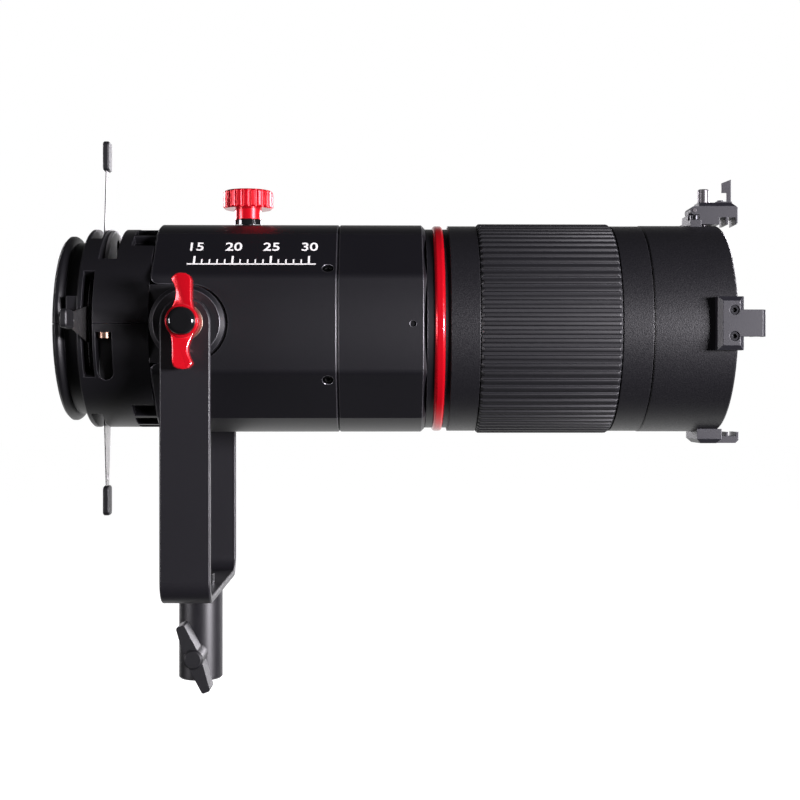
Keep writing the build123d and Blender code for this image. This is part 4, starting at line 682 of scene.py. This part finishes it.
# --- Front tube and accessory holders -----------------------------------------------------------
# A moulded tube with a fine leather-like grain carries the front lens and its retaining ring.
# Charcoal painted metal holders are screwed around its rim, the top one on a hinge.
textured_moulding = solid_finish(
    "textured_moulding", (0.0048, 0.0046, 0.0060), (0.0068, 0.0066, 0.0080), (0.022, 0.021, 0.024),
    rough=(0.34, 0.50), grain=1400.0, depth=0.00009, edge_radius=0.0005,
)
front_glass = lens_glass("front_glass", (0.97, 0.98, 0.98), (0.80, 0.72, 1.0))
charcoal_paint = solid_finish(
    "charcoal_paint", (0.0095, 0.0092, 0.0125), (0.0130, 0.0126, 0.0165), (0.07, 0.07, 0.08),
    rough=(0.36, 0.50), grain=2000.0, depth=0.00003, edge_radius=0.0005,
)
dull_steel = solid_finish(
    "dull_plunger_steel", (0.115, 0.108, 0.112), (0.085, 0.080, 0.084), (0.26, 0.25, 0.26),
    rough=(0.32, 0.44), grain=2600.0, depth=0.00001, metallic=0.7, edge_radius=0.0003,
)
dress(textured_moulding, "front_tube", "zoom_sleeve")
dress(front_glass, "front_lens")
dress(black_anodising, "front_lens_ring")
dress(
    charcoal_paint,
    "accessory_bracket_near", "accessory_bracket_far", "accessory_bracket_bottom",
    "gate_base", "top_gate", "gate_flag",
)
dress(black_oxide, "bracket_screws")
dress(dull_steel, "gate_hinge_pin", "plunger_pin")

# Baffle: fine stepped ridges turned inside the hood, which keep stray light off the rim.
BAFFLE_PITCH = 0.0016
BAFFLE_HEIGHT = 0.0009
BAFFLE_END = 0.0016
BAFFLE_BED = 0.0001
RIDGE_LENGTH = 0.9
RIDGE_FOOT = 0.1
HOOD_WALL = 0.0042

tube_low, tube_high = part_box("front_tube")
hood_bore = (tube_high.z - tube_low.z) / 2 - HOOD_WALL
baffle_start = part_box("front_lens_ring")[1].x + BAFFLE_END / 2
baffle_count = int((tube_high.x - BAFFLE_END - baffle_start) / BAFFLE_PITCH)
baffle_end = baffle_start + baffle_count * BAFFLE_PITCH
baffle_profile = [(baffle_start, hood_bore + BAFFLE_BED)]
for ridge in range(baffle_count):
    ridge_x = baffle_start + ridge * BAFFLE_PITCH
    ridge_foot_x = ridge_x + BAFFLE_PITCH * RIDGE_LENGTH
    baffle_profile.append((ridge_x, hood_bore - BAFFLE_HEIGHT))
    baffle_profile.append((ridge_foot_x, hood_bore - BAFFLE_HEIGHT * RIDGE_FOOT))
baffle_profile.append((baffle_end, hood_bore + BAFFLE_BED))
finished_piece(
    "hood_baffle", turned_ring(baffle_profile), textured_moulding, "optic",
    crease=20.0,
)

# --- Studio -------------------------------------------------------------------------------------
# A plain pale floor well under the object, soft boxes to its right and left on both sides, pale
# surroundings behind it, and the camera level with the optic's lower side.
FLOOR_DROP = 0.25
FLOOR_HALF = 12.0
FLOOR_GREY = 0.30
FLOOR_ROUGHNESS = 0.9
FLOOR_GLOSS = 0.1
FLOOR_GLOW = 0.97
WHITE = (1.0, 1.0, 1.0, 1.0)

floor_shape = bmesh.new()
bmesh.ops.create_grid(floor_shape, x_segments=1, y_segments=1, size=FLOOR_HALF)
bmesh.ops.translate(floor_shape, verts=floor_shape.verts, vec=(0.0, 0.0, cad_low.z - FLOOR_DROP))
floor_data = bpy.data.meshes.new("floor")
floor_shape.to_mesh(floor_data)
floor_shape.free()
floor = bpy.data.objects.new("floor", floor_data)
bpy.context.scene.collection.objects.link(floor)
floor_material = bpy.data.materials.new("pale_floor")
floor_material.use_nodes = True
floor_shader = floor_material.node_tree.nodes["Principled BSDF"]
floor_shader.inputs["Base Color"].default_value = (FLOOR_GREY, FLOOR_GREY, FLOOR_GREY, 1.0)
floor_shader.inputs["Roughness"].default_value = FLOOR_ROUGHNESS
floor_shader.inputs["Specular IOR Level"].default_value = FLOOR_GLOSS
floor_shader.inputs["Emission Color"].default_value = WHITE
floor_shader.inputs["Emission Strength"].default_value = FLOOR_GLOW
floor_data.materials.append(floor_material)
floor.visible_glossy = False
floor.visible_diffuse = False

# Soft boxes: name, place, width, height and power.
LIGHT_COLOUR = (0.97, 0.935, 1.0)
OPTIC_MIDDLE = Vector((0.12, 0.0, 0.20))
SOFT_BOXES = (
    ("right_box", (1.78, -1.40, 0.27), 0.80, 0.36, 150.0),
    ("left_box", (-1.75, -0.95, 0.27), 0.80, 0.55, 24.0),
    ("far_right_box", (1.55, 1.75, 0.55), 1.1, 0.7, 62.0),
    ("far_left_box", (-1.45, 1.85, 0.45), 1.0, 0.7, 46.0),
)
for box_name, box_place, box_width, box_height, box_power in SOFT_BOXES:
    box_data = bpy.data.lights.new(box_name, "AREA")
    box_data.shape = "RECTANGLE"
    box_data.size, box_data.size_y = box_width, box_height
    box_data.energy = box_power
    box_data.color = LIGHT_COLOUR
    box_light = bpy.data.objects.new(box_name, box_data)
    box_light.location = box_place
    facing = OPTIC_MIDDLE - Vector(box_place)
    box_light.rotation_euler = facing.to_track_quat("-Z", "Y").to_euler()
    bpy.context.scene.collection.objects.link(box_light)

# Surroundings: bright behind the object and nearly dark in front, and white to the camera.
BRIGHT_SIDE = (0.0, 0.92, -0.38)
BRIGHT_BEGINS = 0.42
BRIGHT_FULL = 0.98
DARK_STRENGTH = 0.020
BRIGHT_STRENGTH = 1.0

world = bpy.data.worlds.new("studio")
bpy.context.scene.world = world
world.use_nodes = True
sky = world.node_tree
background = sky.nodes["Background"]
background.inputs["Color"].default_value = WHITE
ray = sky.nodes.new("ShaderNodeLightPath")
direction = sky.nodes.new("ShaderNodeTexCoord")
backwards = sky.nodes.new("ShaderNodeVectorMath")
backwards.operation = "DOT_PRODUCT"
backwards.inputs[1].default_value = BRIGHT_SIDE
behind = sky.nodes.new("ShaderNodeMapRange")
behind.interpolation_type = "SMOOTHSTEP"
behind.inputs["From Min"].default_value = BRIGHT_BEGINS
behind.inputs["From Max"].default_value = BRIGHT_FULL
behind.inputs["To Min"].default_value = DARK_STRENGTH
behind.inputs["To Max"].default_value = BRIGHT_STRENGTH
seen = sky.nodes.new("ShaderNodeMix")
seen.inputs["B"].default_value = BRIGHT_STRENGTH
sky.links.new(direction.outputs["Generated"], backwards.inputs[0])
sky.links.new(backwards.outputs["Value"], behind.inputs["Value"])
sky.links.new(ray.outputs["Is Camera Ray"], seen.inputs["Factor"])
sky.links.new(behind.outputs["Result"], seen.inputs["A"])
sky.links.new(seen.outputs["Result"], background.inputs["Strength"])
bpy.context.scene.view_settings.view_transform = "Standard"

CAMERA_PLACE = (0.1061, -0.8528, 0.1662)
CAMERA_TURN = math.radians(-0.9)
CAMERA_LENS = 63.8
SENSOR_WIDTH = 36.0

camera_data = bpy.data.cameras.new("camera")
camera_data.sensor_width = SENSOR_WIDTH
camera_data.lens = CAMERA_LENS
camera = bpy.data.objects.new("camera", camera_data)
camera.location = CAMERA_PLACE
camera.rotation_euler = (math.pi / 2, 0.0, CAMERA_TURN)
bpy.context.scene.collection.objects.link(camera)
bpy.context.scene.camera = camera
